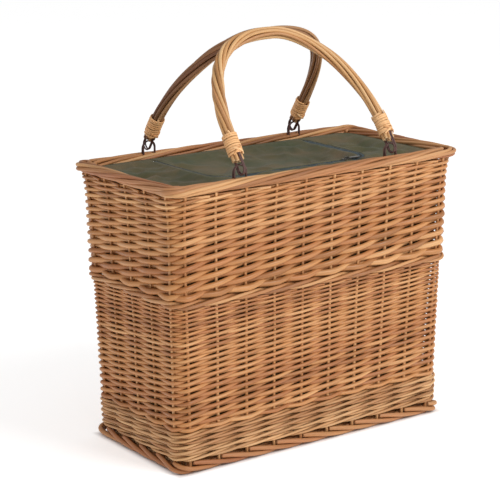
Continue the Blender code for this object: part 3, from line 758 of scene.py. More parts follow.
def randing(name, node, rounds, butt_share):
    """One tapering weaver from each space, in front of one stake and behind the next, up the band."""
    low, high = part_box(node)
    rods = Rods(name, 7)
    turns, levels, speed = round_heights(low.z, high.z, rounds, butt_share)
    done = np.linspace(-WEAVER_TAIL_ROUNDS, rounds - WEAVER_END_ROUNDS, rounds * 2 * POINTS_PER_STAKE)
    pitch = (high.z - low.z) / (2 * rounds) * np.interp(done, turns, speed)
    tail = 2 * np.minimum(done, 0) * TAIL_DROP_SHARE * pitch
    swing = np.cos(math.pi * 2 * done)
    for number in range(STAKES):
        wobble = ripple(done * 2.1, number + 61, WEAVER_WOBBLE)
        height = np.interp(done, turns, levels) + pitch / 2 + tail + wobble
        radii = WEAVER_FILL_SHARE * pitch * (rng.uniform(0.95, 1.03) + ripple(done * 1.3, number + 31, 0.03))
        height = np.clip(height, low.z + radii, high.z - radii)
        out = swing * (STAKE_TIP + radii - WEAVER_PRESS) + ripple(done * 2.0, number + 91, WEAVER_WOBBLE)
        tone = (np.clip(rng.gauss(0.52, 0.13), 0, 1), rng.random())
        rods.add(wall(number + 2 * done, height, out), radii, UP, tone)
    rods.make(buff_willow_finish, "basket", (node,))


def wale_swing(phase):
    """Distance out of the wall's middle: behind one stake, then in front of two."""
    turn = 2 * math.pi * phase
    return 0.333 - 1.10 * np.cos(turn) - 0.233 * np.cos(2 * turn)


def waling(name, node, courses, finish):
    """Three rods twisted round the stakes, each over the two others, in one or more courses."""
    low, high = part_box(node)
    rods = Rods(name, 8)
    course = (high.z - low.z) / courses
    radius = course * WALE_FILL_SHARE
    length = STAKES / WALE_PIECES + 2 * WALE_OVERLAP_STAKES
    for number in range(courses * WALE_STRANDS * WALE_PIECES):
        level, place = divmod(number, WALE_STRANDS * WALE_PIECES)
        strand, piece = divmod(place, WALE_PIECES)
        start = piece * STAKES / WALE_PIECES - strand - WALE_OVERLAP_STAKES
        stake = np.linspace(start, start + length, int(length * POINTS_PER_STAKE))
        phase = (stake + strand) / WALE_STRANDS
        seed = level * 50 + strand * 9 + piece
        rise = -1.12 * radius * np.sin(2 * math.pi * phase) + ripple(stake, seed, ROD_WOBBLE)
        out = (STAKE_BUTT + radius) * wale_swing(phase) * rng.uniform(0.94, 1.0)
        radii = radius * (rng.uniform(0.90, 1.04) + ripple(stake, seed + 7, 0.02))
        tone = (rng.uniform(0.25, 1.0), rng.random() * 0.75)
        rods.add(wall(stake, low.z + (level + 0.5) * course + rise, out), radii, UP, tone)
    rods.make(finish, "basket", (node,))


def border():
    """Rods that come up outside, roll slowly over the rim and end inside it, fanned out at the corners."""
    low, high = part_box("top_border")
    rods = Rods("border_rods", 9)
    tall = (high.z - low.z) / 2 - BORDER_ROD
    deep = BORDER_DEPTH / 2 - BORDER_ROD
    middle_z = (low.z + high.z) / 2
    middle_out = ring_out(high.x, middle_z, BORDER_DEPTH)
    share = np.linspace(0, 1, 90)
    tuck = 1 - 0.45 * np.clip((np.abs(share - 0.5) - 0.42) / 0.08, 0, 1)
    for number in range(STAKES):
        stake = number + rng.uniform(-0.1, 0.1) + share * BORDER_REACH_STAKES * rng.uniform(0.97, 1.03)
        angle = (BORDER_START_SHARE + share * BORDER_TURN_SHARE) * math.pi
        angle = angle + ripple(share * 9, number + 160, 0.10)
        push = BORDER_PUSH * near_corner(stake, BORDER_PUSH_STAKES) * np.maximum(np.cos(angle), 0)
        pull = BORDER_PULL * near_corner(stake, BORDER_PULL_STAKES) * np.maximum(-np.cos(angle), 0)
        wobble = ripple(share * 16, number, BORDER_WOBBLE)
        out = middle_out + np.cos(angle) * deep * tuck + push - pull + wobble
        rise = np.sin(angle) * tall * tuck + ripple(share * 14, number + 200, ROD_WOBBLE)
        radii = BORDER_ROD * (1.04 - 0.16 * share) * rng.uniform(0.92, 1.02)
        height = np.clip(middle_z + rise, low.z + radii, high.z - radii)
        tone = (rng.uniform(0.15, 1.0), rng.random())
        rods.add(wall(stake, height, out), radii, UP, tone, tip=0.7)
    rods.make(border_willow_finish, "basket", ("top_border",))


def foot():
    """Each butt comes out under the upsett, slants down outside the next ones and ends inside."""
    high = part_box("foot_border")[1]
    rods = Rods("foot_rods", 9)
    middle_z = high.z / 2
    deep = FOOT_DEPTH / 2 - FOOT_ROD
    middle_out = ring_out(high.x, middle_z, FOOT_DEPTH)
    share = np.linspace(0, 1, 44)
    angle = (FOOT_START_SHARE + FOOT_TURN_SHARE * share) * math.pi
    for number in range(STAKES):
        stake = number + FOOT_START_STAKES + share * FOOT_REACH_STAKES
        push = FOOT_PUSH * near_corner(stake, FOOT_PUSH_STAKES) * np.maximum(np.cos(angle), 0)
        out = middle_out + deep * np.cos(angle) + push + ripple(share * 8, number + 500, ROD_WOBBLE)
        radii = FOOT_ROD * (1.0 - 0.22 * share) * rng.uniform(0.94, 1.02)
        height = np.clip(middle_z + (middle_z - FOOT_ROD) * np.sin(angle), radii, high.z - radii)
        tone = (rng.uniform(0.3, 0.9), rng.uniform(0.55, 0.9))
        rods.add(wall(stake, height, out), radii, UP, tone, butt=0.25)
    rods.make(border_willow_finish, "basket", ("foot_border",))


def base_weave():
    """Rods along the length, over and under sticks that run across, inside a hoop."""
    low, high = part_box("base_panel")
    rods = Rods("base_rods", 7)
    middle = (low.z + high.z) / 2
    for number in range(BASE_STICKS):
        x = high.x * ((2 * number + 1) / BASE_STICKS - 1)
        path = np.linspace((x, -high.y, middle), (x, high.y, middle), 12)
        rods.add(path, BASE_STICK, UP, butt=0.6, tip=0.6)
    rows = round(high.y / BASE_ROD)
    for row in range(rows):
        y = (high.y - BASE_ROD) * (2 * row / (rows - 1) - 1)
        reach = high.x - max(0.0, abs(y) - (high.y - CORNER_RADIUS / 2))
        x = np.linspace(-reach, reach, BASE_STICKS * 7)
        swing = np.cos(math.pi * ((x / high.x + 1) * BASE_STICKS / 2 - 0.5 + row))
        z = middle + swing * ((high.z - low.z) / 2 - BASE_ROD)
        path = np.stack((x, y + ripple(x * 60, row, ROD_WOBBLE), z), axis=1)
        radii = BASE_ROD * (rng.uniform(0.93, 1.02) + ripple(x * 20, row + 80, 0.03))
        rods.add(path, radii, UP, (rng.uniform(0.3, 0.9), rng.random()), butt=0.7, tip=0.4)
    path = hoop(high.x - BASE_HOOP, high.y - BASE_HOOP, CORNER_RADIUS, middle, 120)
    rods.add(path, BASE_HOOP, UP, (0.3, 0.7), sides=10)
    rods.make(buff_willow_finish, "basket", ("base_panel",))


# Handles

class Arch:
    """A handle's middle line in its own leaning plane, and the way from there to the scene."""

    def __init__(self, place):
        self.place = place
        self.body = f"{place}_handle"
        self.pivot = joint_place(f"{place}_handle_swing")
        core = frame["nodes"][f"{place}_handle_core_rod"].data.vertices
        middle = np.array([vertex.co for vertex in core]).mean(0) - self.pivot
        self.lean = math.atan2(abs(middle[1]), middle[2])
        self.toward = -math.copysign(1, self.pivot[1])
        low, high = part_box(f"{place}_right_rim_loop")
        self.half = (low.x + high.x) / 2
        self.line = self._outline()
        self.total = lengths_along(self.line)[-1]

    def _outline(self):
        reach = HANDLE_REACH[self.place]
        right, left = HANDLE_SHOULDER_SHARES[self.place]
        angle = np.linspace(0, math.pi, 361)
        across = np.cos(angle)
        power = 2 / np.where(across > 0, right, left)
        u = self.half * np.sign(across) * np.abs(across) ** power
        v = HANDLE_LEG + (reach - HANDLE_LEG) * np.abs(np.sin(angle)) ** power
        leg = np.linspace((self.half, 0), (self.half, HANDLE_LEG), 12)[:-1]
        return np.concatenate((leg, np.stack((u, v), axis=1), leg[::-1] * (-1, 1)))

    def world(self, u, side, v):
        """Points across, towards +Y and up in the handle's plane, as points of the scene."""
        y = side * math.cos(self.lean) + self.toward * v * math.sin(self.lean)
        z = -self.toward * side * math.sin(self.lean) + v * math.cos(self.lean)
        return np.stack(np.broadcast_arrays(u, y, z), axis=-1) + self.pivot

    def middle(self, distance):
        """Points of the middle line at distances from the right foot."""
        u, v = points_along(self.line, distance).T
        return self.world(u, 0.0, v)

    def round(self, distance, angle, radius):
        """Points laid round the middle line, and their directions out of it."""
        ahead, behind = (points_along(self.line, distance + step) for step in (SPREAD, -SPREAD))
        tangent = unit(ahead - behind)
        normal = np.stack((tangent[:, 1], -tangent[:, 0]), axis=1)
        u, v = (points_along(self.line, distance) + normal * (np.cos(angle) * radius)[:, None]).T
        made = self.world(u, np.sin(angle) * radius, v)
        return made, unit(made - self.middle(distance))

    def from_foot(self, side, distance):
        return distance if side > 0 else self.total - distance


def handle(arch, finish):
    """Willow rods laid round a core. Their cut ends show under the winding."""
    rods = Rods(f"{arch.place}_handle_rods", 9)
    for number in range(HANDLE_RODS):
        start = HANDLE_END + rng.uniform(0, HANDLE_END)
        end = arch.total - HANDLE_END - rng.uniform(0, HANDLE_END)
        distance = np.linspace(start, end, 110)
        share = distance / arch.total
        turned = number / HANDLE_RODS
        for first, last, turns in HANDLE_TWIST_SHARES[arch.place]:
            turned = turned + turns * eased(share, first, last)
        angle = 2 * math.pi * turned + ripple(share * 14, number + 400, 0.09)
        loose = np.sin(math.pi * share) ** 0.5
        radius = HANDLE_LAY_RADIUS + ripple(share * 11, number + 420, HANDLE_WOBBLE) * loose
        path, facing = arch.round(distance, angle, radius)
        taper = 1.04 - 0.10 * share if number % 2 else 0.94 + 0.10 * share
        radii = HANDLE_ROD * taper * (1 + ripple(share * 16, number + 440, 0.012))
        rods.add(path, radii, facing, (rng.uniform(0.15, 1.0), rng.uniform(0, 1)), butt=0.85, tip=0.85)
    nodes = [f"{arch.place}_handle_rod_{number + 1}" for number in range(6)]
    rods.make(finish, arch.body, nodes)
    core = Rods(f"{arch.place}_handle_core", 10)
    path = arch.middle(np.linspace(CORE_END, arch.total - CORE_END, 90))
    core.add(path, HANDLE_CORE, arch.world(0.0, 1.0, 0.0) - arch.pivot, (0.0, 0.9), butt=0.5, tip=0.5)
    core.make(finish, arch.body, (f"{arch.place}_handle_core_rod",))


def winding(arch, foot_name, side):
    """Flat cane wound tightly round a foot, then crossed over itself and tucked in."""
    rods = Rods(f"{arch.place}_{foot_name}_cane", 8)
    thick = CANE_HALF_WIDTH * CANE_FLATNESS
    radius = HANDLE_LAY_RADIUS + HANDLE_ROD + thick + CANE_GAP
    tall = WINDING_PITCH * WINDING_TURNS
    turns = np.linspace(0, WINDING_TURNS, int(WINDING_TURNS * 22))
    distance = WINDING_START + WINDING_PITCH * (turns + 0.10 * np.sin(turns * 2.1 + side))
    tilt = WINDING_TILT * np.sin(2 * math.pi * turns + 0.8) * (1 - turns / WINDING_TURNS)
    angle = 2 * math.pi * turns * side + 0.5
    lay = radius + ripple(turns * 3, 5, CANE_WOBBLE)
    path, facing = arch.round(arch.from_foot(side, distance + tilt), angle, lay)
    rods.add(path, CANE_HALF_WIDTH, facing, (rng.uniform(0.4, 0.8), 0.3), CANE_FLATNESS, tip=0.8)
    share = np.linspace(0, 1, 26)
    for begin, end, low, high in CROSSING_SHARES:
        distance = WINDING_START + tall * (low + (high - low) * share)
        over = radius + thick * 1.9 * np.sin(math.pi * np.clip(share * 1.15, 0, 1)) ** 0.4
        path, facing = arch.round(arch.from_foot(side, distance), begin + (end - begin) * share, over)
        rods.add(path, CANE_HALF_WIDTH * 0.9, facing, (rng.random(), 0.4), CANE_FLATNESS, tip=0.9)
    share = np.linspace(0, 1, 6)
    for angle, length in STUBS:
        distance = WINDING_START + tall - STUB_SEAT + share * length
        lay = radius + STUB_LIFT * (1 - share)
        path, facing = arch.round(arch.from_foot(side, distance), angle + 0.2 * share, lay)
        rods.add(path, CANE_HALF_WIDTH * 0.8, facing, (0.8, 0.2), CANE_FLATNESS, butt=0.9, tip=0.9)
    rods.make(cane_finish, arch.body, (f"{arch.place}_{foot_name}_winding",))


def bent_wire(width, bottom, top):
    """Points of an upright U upside down: two legs and a half circle, across and up."""
    radius = width / 2
    angle = np.linspace(0, math.pi, 30)
    bend = np.stack((np.cos(angle) * radius, top - radius + np.sin(angle) * radius), axis=1)
    leg = np.linspace((radius, bottom), (radius, top - radius), 9)[:-1]
    return np.concatenate((leg, bend, leg[::-1] * (-1, 1)))


def wire_apart(strand, shape, waves, phase):
    """How far one of two wires lies beside their middle, along its shape."""
    return strand * WIRE_APART * (1 + 0.25 * np.sin(np.linspace(0, waves, len(shape)) + phase))


def loops(arch, foot_name, side):
    """Each link is a doubled wire: one loop in the rim, and one bound to the handle's foot."""
    place = f"{arch.place}_{foot_name}"
    u = side * arch.half
    rim_low, rim_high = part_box(f"{place}_rim_loop")
    width = rim_high.x - rim_low.x - 2 * WIRE_RADIUS
    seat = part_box("top_border")[1].z - RIM_LOOP_SEAT
    rim = Rods(f"{place}_rim_wires", 9)
    for strand in (-1, 1):
        top = rim_high.z - WIRE_RADIUS * (1 + 0.25 * (strand + 1))
        shape = bent_wire(width + strand * WIRE_SPREAD, seat, top)
        y = arch.pivot[1] + wire_apart(strand, shape, 9, side)
        path = np.stack((u + shape[:, 0], y, shape[:, 1]), axis=1)
        rim.add(path, WIRE_RADIUS, (0, 1, 0), (rng.random(), rng.random()))
    rim.make(wire_finish, "basket", (f"{place}_rim_loop",))
    reach = arch.pivot[2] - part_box(f"{place}_handle_loop")[0].z
    drop = reach / math.cos(arch.lean) * LOOP_HANG_SHARE
    hung = Rods(f"{place}_handle_wires", 9)
    for strand in (-1, 1):
        shape = bent_wire(2 * LOOP_LEG_RADIUS, -LOOP_LEG_TOP, drop - LOOP_NEST * (strand + 1))
        path = arch.world(u + wire_apart(strand, shape, 8, 2 * side), shape[:, 0], -shape[:, 1])
        hung.add(path, WIRE_RADIUS, (1, 0, 0), (rng.random(), rng.random()))
    hung.make(wire_finish, arch.body, (f"{place}_handle_loop",))


def handles():
    for place, finish in (("front", handle_willow_finish), ("rear", rear_shaded_willow_finish)):
        arch = Arch(place)
        handle(arch, finish)
        for foot_name, side in (("left", -1), ("right", 1)):
            winding(arch, foot_name, side)
            loops(arch, foot_name, side)


# Cooler bag

class Bag:
    """Places on the cooler bag, taken from its solids."""

    def __init__(self):
        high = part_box("bag_top_panel")[1]
        self.top = high.z
        self.half_x = high.x
        self.half_y = high.y
        tape_low, tape_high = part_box("bag_zip_tape")
        lid_low, lid_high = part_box("lid_zip_tape")
        self.zip_half = (tape_high.x - TAPE_WIDTH + lid_high.x) / 2
        self.zip_front = (tape_low.y + TAPE_WIDTH + lid_low.y) / 2
        self.rim = high.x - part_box("bag_lining")[1].x + RIM_LAP
        self.hinge = joint_place("lid_swing")[1]
        self.back = self.half_y - RIM_INSET
        self.seam = self.hinge + SEAM_BACK
        self.flap_side = self.zip_half - SEAM_GAP

    def zip_line(self, offset, step=ZIP_STEP, back=None):
        """The zip's U from its right back end round the front to its left back end."""
        half = self.zip_half + offset
        radius = ZIP_CORNER_RADIUS + offset
        angle = np.linspace(0, math.pi / 2, 15)
        corner = np.array((half - radius, self.zip_front - offset + radius))
        right = corner + radius * np.stack((np.cos(angle), -np.sin(angle)), axis=1)
        end = np.array([[half, self.hinge if back is None else back]])
        line = np.concatenate((end, right, right[::-1] * (-1, 1), end * (-1, 1)))
        return spaced(line, int(lengths_along(line)[-1] / step) + 1)

    def cloth_line(self, side):
        """Edge of the cloth beside the zip: near it along the left, drawn back from it at the right."""
        wide = self.zip_line(side * CLOTH_EDGE)
        near = spaced(self.zip_line(side * CLOTH_NEAR_EDGE), len(wide))
        share = eased(wide[:, :1], ZIP_OPEN_FROM, ZIP_OPEN_TO)
        return spaced(near + (wide - near) * share, len(wide))

    def zip_offset(self, x, y):
        """Distance outside the zip's line, less than 0 inside it."""
        radius = ZIP_CORNER_RADIUS
        across = np.abs(x) - (self.zip_half - radius)
        ahead = (self.zip_front + radius) - y
        corner = np.hypot(np.maximum(across, 0), np.maximum(ahead, 0)) - radius
        inner = np.maximum(across, ahead) - radius
        return np.where((across > 0) & (ahead > 0), corner, inner)

    def top_outline(self):
        """Edge of the bag's top: round the rim, in at the flap's right end, and back along the zip."""
        end = self.zip_half + SEAM_GAP
        rim = rounded_outline(self.half_x - RIM_INSET, self.back, BAG_CORNER_RADIUS, 400)
        behind_flap = (np.abs(rim[:, 0]) < end + CORNER_GAP) & (rim[:, 1] > self.back - CORNER_GAP)
        rim = rim[~behind_flap]
        rim = np.roll(rim, -int(np.argmin(np.linalg.norm(rim - (-end, self.back), axis=1))), axis=0)
        right = np.array([[end, self.back], [end, self.seam]])
        left = right * (-1, 1)
        return np.concatenate((left[:1], rim, right, self.cloth_line(1), left[1:]))

    def flap_outline(self):
        right = np.array([[self.flap_side, self.back], [self.flap_side, self.seam]])
        behind = spaced(np.concatenate((right[::-1] * (-1, 1), right)), 90)
        return np.concatenate((self.cloth_line(-1), behind))

    def lining_outline(self):
        line = self.zip_line(-CLOTH_EDGE - LINING_EDGE, back=self.hinge - LINING_EDGE)
        return np.concatenate((line, spaced(line[[-1, 0]], 60)[1:-1]))


def folds(bag, x, y):
    """Short creases of the slack cloth, closest together right of the zip."""
    relief = np.zeros_like(x)
    for low, high, count in FOLDS:
        for _ in range(count):
            middle_x = rng.uniform(low, high)
            middle_y = rng.uniform(-0.8, 0.8) * bag.half_y
            angle = rng.uniform(0.5, 2.9)
            along = (x - middle_x) * math.cos(angle) + (y - middle_y) * math.sin(angle)
            across = (y - middle_y) * math.cos(angle) - (x - middle_x) * math.sin(angle)
            across = across + 3.0 * along * along * rng.uniform(-1, 1)
            height = rng.uniform(*FOLD_HEIGHTS) * rng.choice((-1, 1))
            width = rng.uniform(*FOLD_WIDTHS)
            length = rng.uniform(*FOLD_LENGTHS)
            relief += height * np.exp(-(across / width) ** 2 - (along / length) ** 2)
    return relief


def settled(x, y, z, held):
    """Heights of a sheet's points after it has hung as cloth."""
    mesh = bpy.data.meshes.new("slack_top")
    number = np.arange(x.size).reshape(x.shape)
    faces = np.stack((number[:-1, :-1], number[:-1, 1:], number[1:, 1:], number[1:, :-1]), axis=2)
    mesh.from_pydata(np.stack((x, y, z), axis=2).reshape(-1, 3).tolist(), [], faces.reshape(-1, 4).tolist())
    sheet = bpy.data.objects.new("slack_top", mesh)
    scene = bpy.context.scene
    scene.collection.objects.link(sheet)
    sheet.vertex_groups.new(name="held").add(np.flatnonzero(held).tolist(), 1.0, "REPLACE")
    hanging = sheet.modifiers.new("Cloth", "CLOTH")
    hanging.collision_settings.use_self_collision = False
    settings = hanging.settings
    settings.quality = 8
    settings.mass = 0.15
    settings.tension_stiffness = 30
    settings.compression_stiffness = 30
    settings.shear_stiffness = 12
    settings.bending_stiffness = 0.03
    settings.air_damping = 2
    settings.vertex_group_mass = "held"
    settings.shrink_min = -SHEET_SLACK
    settings.effector_weights.gravity = 0.35
    for step in range(1, SHEET_FRAMES + 1):
        scene.frame_set(step)
    points = np.zeros(x.size * 3, np.float32)
    hung = sheet.evaluated_get(bpy.context.evaluated_depsgraph_get())
    hung.data.vertices.foreach_get("co", points)
    bpy.data.objects.remove(sheet, do_unlink=True)
    scene.frame_set(1)
    return points.reshape(-1, 3)[:, 2].reshape(x.shape).astype(float)


def hang_top(bag):
    """The bag's slack top as one sheet, held round its edge and along the zip, after it has sagged."""
    columns = np.linspace(-bag.half_x, bag.half_x, int(2 * bag.half_x / SHEET_STEP) + 1)
    rows = np.linspace(-bag.half_y, bag.half_y, int(2 * bag.half_y / SHEET_STEP) + 1)
    x, y = np.meshgrid(columns, rows)
    outside = bag.zip_offset(x, y)
    edge = np.minimum(bag.half_x - np.abs(x), bag.half_y - np.abs(y))
    held = (edge < bag.rim) | ((np.abs(outside) < ZIP_LAP) & (y < bag.hinge))
    free = np.clip((np.minimum(edge - bag.rim, np.abs(outside)) - ZIP_LAP) / HELD_FADE, 0, 1)
    relief = folds(bag, x, y) * np.clip(free * 2, 0, 1)
    pucker = np.random.default_rng(7).normal(0, PUCKER, x.shape)
    waves = LONG_WAVE * np.sin(x * 61 + y * 83 + 1.0) + SHORT_WAVE * np.sin(x * 137 - y * 171)
    z = bag.top + free * (waves + pucker)
    sag = settled(x, y, z, held) - bag.top
    return x, y, bag.top + SAG_LIMIT * np.tanh(sag / SAG_LIMIT) + relief


class Surface:
    """Height and direction of the slack top over any place."""

    def __init__(self, x, y, z):
        self.low = np.array((x[0, 0], y[0, 0]))
        self.step = np.array((x[0, 1] - x[0, 0], y[1, 0] - y[0, 0]))
        beside = z[:-2, 1:-1] + z[2:, 1:-1] + z[1:-1, :-2] + z[1:-1, 2:]
        self.z = z.copy()
        self.z[1:-1, 1:-1] = z[1:-1, 1:-1] / 2 + beside / 8

    def height(self, places):
        spot = (places - self.low) / self.step
        column = np.clip(spot[:, 0], 0, self.z.shape[1] - 1.001)
        row = np.clip(spot[:, 1], 0, self.z.shape[0] - 1.001)
        i, j = row.astype(int), column.astype(int)
        a, b = eased(row - i, 0, 1), eased(column - j, 0, 1)
        near = self.z[i, j] * (1 - b) + self.z[i, j + 1] * b
        far = self.z[i + 1, j] * (1 - b) + self.z[i + 1, j + 1] * b
        return near * (1 - a) + far * a

    def slope(self, places, step):
        return (self.height(places + step) - self.height(places - step)) / (2 * SPREAD)

    def points(self, places, lift=0.0):
        """Points at flat places, lifted along the cloth's normal."""
        slope_x = self.slope(places, (SPREAD, 0))
        slope_y = self.slope(places, (0, SPREAD))
        normal = unit(np.stack((-slope_x, -slope_y, np.ones_like(slope_x)), axis=1))
        base = np.concatenate((places, self.height(places)[:, None]), axis=1)
        return base + normal * np.reshape(lift, (-1, 1))


def inside(places, outline):
    """Which places lie inside an outline."""
    crossed = np.zeros(len(places), bool)
    for here, following in zip(outline, np.roll(outline, -1, axis=0)):
        spans = (here[1] > places[:, 1]) != (following[1] > places[:, 1])
        rise = following[1] - here[1]
        at = here[0] + (following[0] - here[0]) * (places[:, 1] - here[1]) / (rise if rise else 1.0)
        crossed ^= spans & (places[:, 0] < at)
    return crossed


def filled(outline, step):
    """Triangles that fill an outline over an even net of points, all facing up."""
    low, high = outline.min(0) + step * 0.6, outline.max(0)
    x, y = np.meshgrid(np.arange(low[0], high[0], step), np.arange(low[1], high[1], step))
    x = x + (np.arange(len(x)) % 2)[:, None] * step / 2
    net = np.stack((x.ravel(), y.ravel()), axis=1)
    apart = np.min(np.linalg.norm(net[:, None] - outline[None], axis=2), axis=1)
    net = net[(apart > step * 0.55) & inside(net, outline)]
    points = [Vector(point) for point in np.concatenate((outline, net))]
    count = len(outline)
    edges = [(index, (index + 1) % count) for index in range(count)]
    places, _, triangles, _, _, _ = geometry.delaunay_2d_cdt(points, edges, [], 1, 1e-9)
    places = np.array([tuple(place) for place in places])
    triangles = np.array([list(triangle) for triangle in triangles])
    first, second, third = (places[triangles[:, corner]] for corner in range(3))
    doubled = np.cross(second - first, third - first)
    triangles = np.where((doubled < 0)[:, None], triangles[:, ::-1], triangles)
    return places, triangles, np.abs(doubled).sum() / 2


def cloth(name, node, outline, surface, lift, thickness, finish, slot, body=None):
    """A thin closed sheet over the slack top, with its edge folded round, and its area."""
    places, triangles, area = filled(outline, SHEET_STEP * 0.7)
    total = len(places)
    near = np.min(np.linalg.norm(places[:, None] - outline[None], axis=2), axis=1)
    fold = thickness / 2 * (1 - np.clip(near / thickness, 0, 1)) * 0.6
    upper = surface.points(places, lift - fold)
    lower = surface.points(places, lift - thickness + fold)
    ring = np.arange(len(outline))
    ahead = (ring + 1) % len(outline)
    sides = np.stack((ring, ring + total, ahead + total, ahead), axis=1)
    if np.cross(outline, np.roll(outline, -1, axis=0)).sum() < 0:
        sides = sides[:, ::-1]
    faces = triangles.tolist() + (triangles[:, ::-1] + total).tolist() + sides.tolist()
    flat = np.concatenate((places, np.zeros((total, 1))), axis=1)
    grain = np.concatenate((flat, flat))
    mesh = smooth_mesh(name, np.concatenate((upper, lower)), faces, grain=grain)
    return put(name, mesh, finish, body, (node,)), area


def tub(name, solid, inset, thickness, finish):
    """An open soft box whose walls swell a little between the places that hold it, and its flat size."""
    low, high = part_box(solid)
    base_x, base_y, _ = ring_half_size(solid, False)
    tall = high.z - low.z
    girth = 4 * (high.x + high.y)
    levels = np.linspace(0, 1, 26)
    profile = [(0.0, 0.0, share) for share in FLOOR_SHARES]
    profile += [(tall * level, 0.0, 1.0) for level in levels]
    profile += [(thickness + (tall - thickness) * level, thickness, 1.0) for level in levels[::-1]]
    profile += [(thickness, thickness, share) for share in FLOOR_SHARES[::-1]]
    around = 150
    rows = []
    grain = []
    for height, inward, shrink in profile:
        z = low.z + height
        half_x = base_x + (high.x - base_x) * height / tall - inward
        half_y = base_y + (high.y - base_y) * height / tall - inward
        ring = rounded_outline(half_x, half_y, BAG_CORNER_RADIUS - inset - inward, around)
        waves = np.sin(ring[:, 0] * 41 + z * 33) + np.sin(ring[:, 1] * 53 - z * 57)
        waves = waves + np.sin(z * 110 + ring[:, 0] * 17)
        swell = CREASE * math.sin(math.pi * height / tall) * (1 + waves / 3)
        moved = (ring - unit(ring / (half_x, half_y)) * swell[:, None]) * shrink
        rows.append(np.concatenate((moved, np.full((around, 1), z)), axis=1))
        grain.append(np.stack(np.broadcast_arrays(np.arange(around) / around * girth, z, 0.0), axis=1))
    last = (len(rows) - 1) * around
    faces = tube_faces(len(rows), around)
    faces += [list(range(around))[::-1], list(range(last, last + around))]
    mesh = smooth_mesh(name, np.concatenate(rows), faces, grain=np.concatenate(grain))
    mesh.set_sharp_from_angle(angle=math.radians(50))
    flat = (girth, tall + 2 * high.y * high.x / (high.x + high.y))
    return put(name, mesh, finish, "basket", (solid,)), flat, girth * tall + 4 * base_x * base_y


def tape(name, bag, surface, side, body, node):
    """Flat tape along the zip, on its outer side (1) or its inner one (-1)."""
    offsets = (0.0, TAPE_WIDTH / 2, TAPE_WIDTH)
    back = bag.hinge + TAPE_BACK
    lines = [bag.zip_line(side * (ZIP_HALF_GAP + offset), back=back) for offset in offsets]
    count = min(len(line) for line in lines)
    lines = [spaced(line, count) for line in lines]
    rows = [surface.points(line, -TAPE_SINK) for line in lines]
    rows += [surface.points(line, -TAPE_SINK - TAPE_THICKNESS) for line in lines[::-1]]
    rounds = len(rows)
    faces = tube_faces(count, rounds)
    faces += [list(range(rounds))[::-1], list(range((count - 1) * rounds, count * rounds))]
    if side > 0:
        faces = [face[::-1] for face in faces]
    along = np.linspace(0, lengths_along(lines[1])[-1], count)
    across = np.array((*offsets, *offsets[::-1]))
    grain = np.stack(np.broadcast_arrays(along[:, None], across, 0.0), axis=2)
    mesh = smooth_mesh(name, np.stack(rows, axis=1).reshape(-1, 3), faces, grain=grain)
    return put(name, mesh, tape_finish, body, (node,))


def teeth(name, bag, surface, side, body):
    """Moulded teeth along one edge of the zip."""
    rods = Rods(name, 4)
    line = bag.zip_line(side * ZIP_HALF_GAP * 0.35, step=TOOTH_PITCH)
    ahead = unit(np.gradient(line, axis=0))
    across = np.stack((-ahead[:, 1], ahead[:, 0]), axis=1) * side
    spots = line if side > 0 else line + ahead * TOOTH_PITCH / 2
    outer = surface.points(spots + across * TOOTH_OUTER, -TAPE_THICKNESS * 0.2)
    inner = surface.points(spots - across * TOOTH_INNER, -TAPE_THICKNESS * 0.2)
    for start, end in zip(outer[1:-1], inner[1:-1]):
        rods.add(np.linspace(start, end, 3), TOOTH, UP, (0.5, 0.5))
    return rods.make(teeth_finish, body)


def stitches(name, bag, surface, offset, body):
    """A row of thread stitches beside the zip."""
    rods = Rods(name, 5)
    line = bag.zip_line(offset, step=STITCH_PITCH / 4)
    lifted = surface.points(line)
    rise = STITCH_RISE * np.sin(math.pi * (np.linspace(0, 1, 4) * 0.8 + 0.1)) + STITCH_LIFT
    for start in range(2, len(line) - 5, 4):
        rods.add(lifted[start:start + 4] + np.outer(rise, UP), STITCH, UP, (0.5, 0.5))
    return rods.make(thread_finish, body)


def zip_side(name, bag, surface, side, body):
    """Tape, teeth and stitches of one side of the zip."""
    return [
        tape(f"{name}_tape", bag, surface, side, body, f"{name}_zip_tape"),
        teeth(f"{name}_teeth", bag, surface, side, body),
        stitches(f"{name}_stitches", bag, surface, side * (CLOTH_EDGE + STITCH_SEAM), body),
    ]


def piping(bag):
    """Round tweed edging of the bag's top."""
    rods = Rods("bag_piping", 9)
    half_x, half_y = bag.half_x - PIPING_INSET, bag.half_y - PIPING_INSET
    rods.add(hoop(half_x, half_y, BAG_CORNER_RADIUS, bag.top - PIPING_SINK, 300), PIPING, UP)
    return rods.make(tweed_finish, "basket")


def top_cloth(bag, surface, trim):
    look = (CLOTH_LIFT, CLOTH, tweed_finish, "green_tweed", "basket")
    panel, area = cloth("bag_top_cloth", "bag_top_panel", bag.top_outline(), surface, *look)


def flap(bag, surface, trim):
    """The zipped flap and its lining, with their placing baked into their meshes."""
    outer_look = (CLOTH_LIFT, CLOTH, tweed_finish, "green_tweed")
    lining_look = (-FLAP_PADDING, LINING, lining_finish, "silver_lining")
    outer, outer_area = cloth("flap_cloth", "lid_flap", bag.flap_outline(), surface, *outer_look)
    lining, lining_area = cloth("flap_lining", "lid_lining", bag.lining_outline(), surface, *lining_look)
    for piece, area, with_pieces in ((outer, outer_area, trim), (lining, lining_area, ())):
        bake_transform(piece)


def bag_walls():
    """Outer cloth, foam and lining of the bag's walls and floor."""
    shell, flat, area = tub("bag_cloth", "bag_shell", 0.0, SHELL, tweed_finish)
    padding = tub("bag_padding", "bag_insulation", FOAM_INSET, FOAM, foam_finish)[0]
    lining, flat, area = tub("bag_inner", "bag_lining", LINING_INSET, LINING, lining_finish)


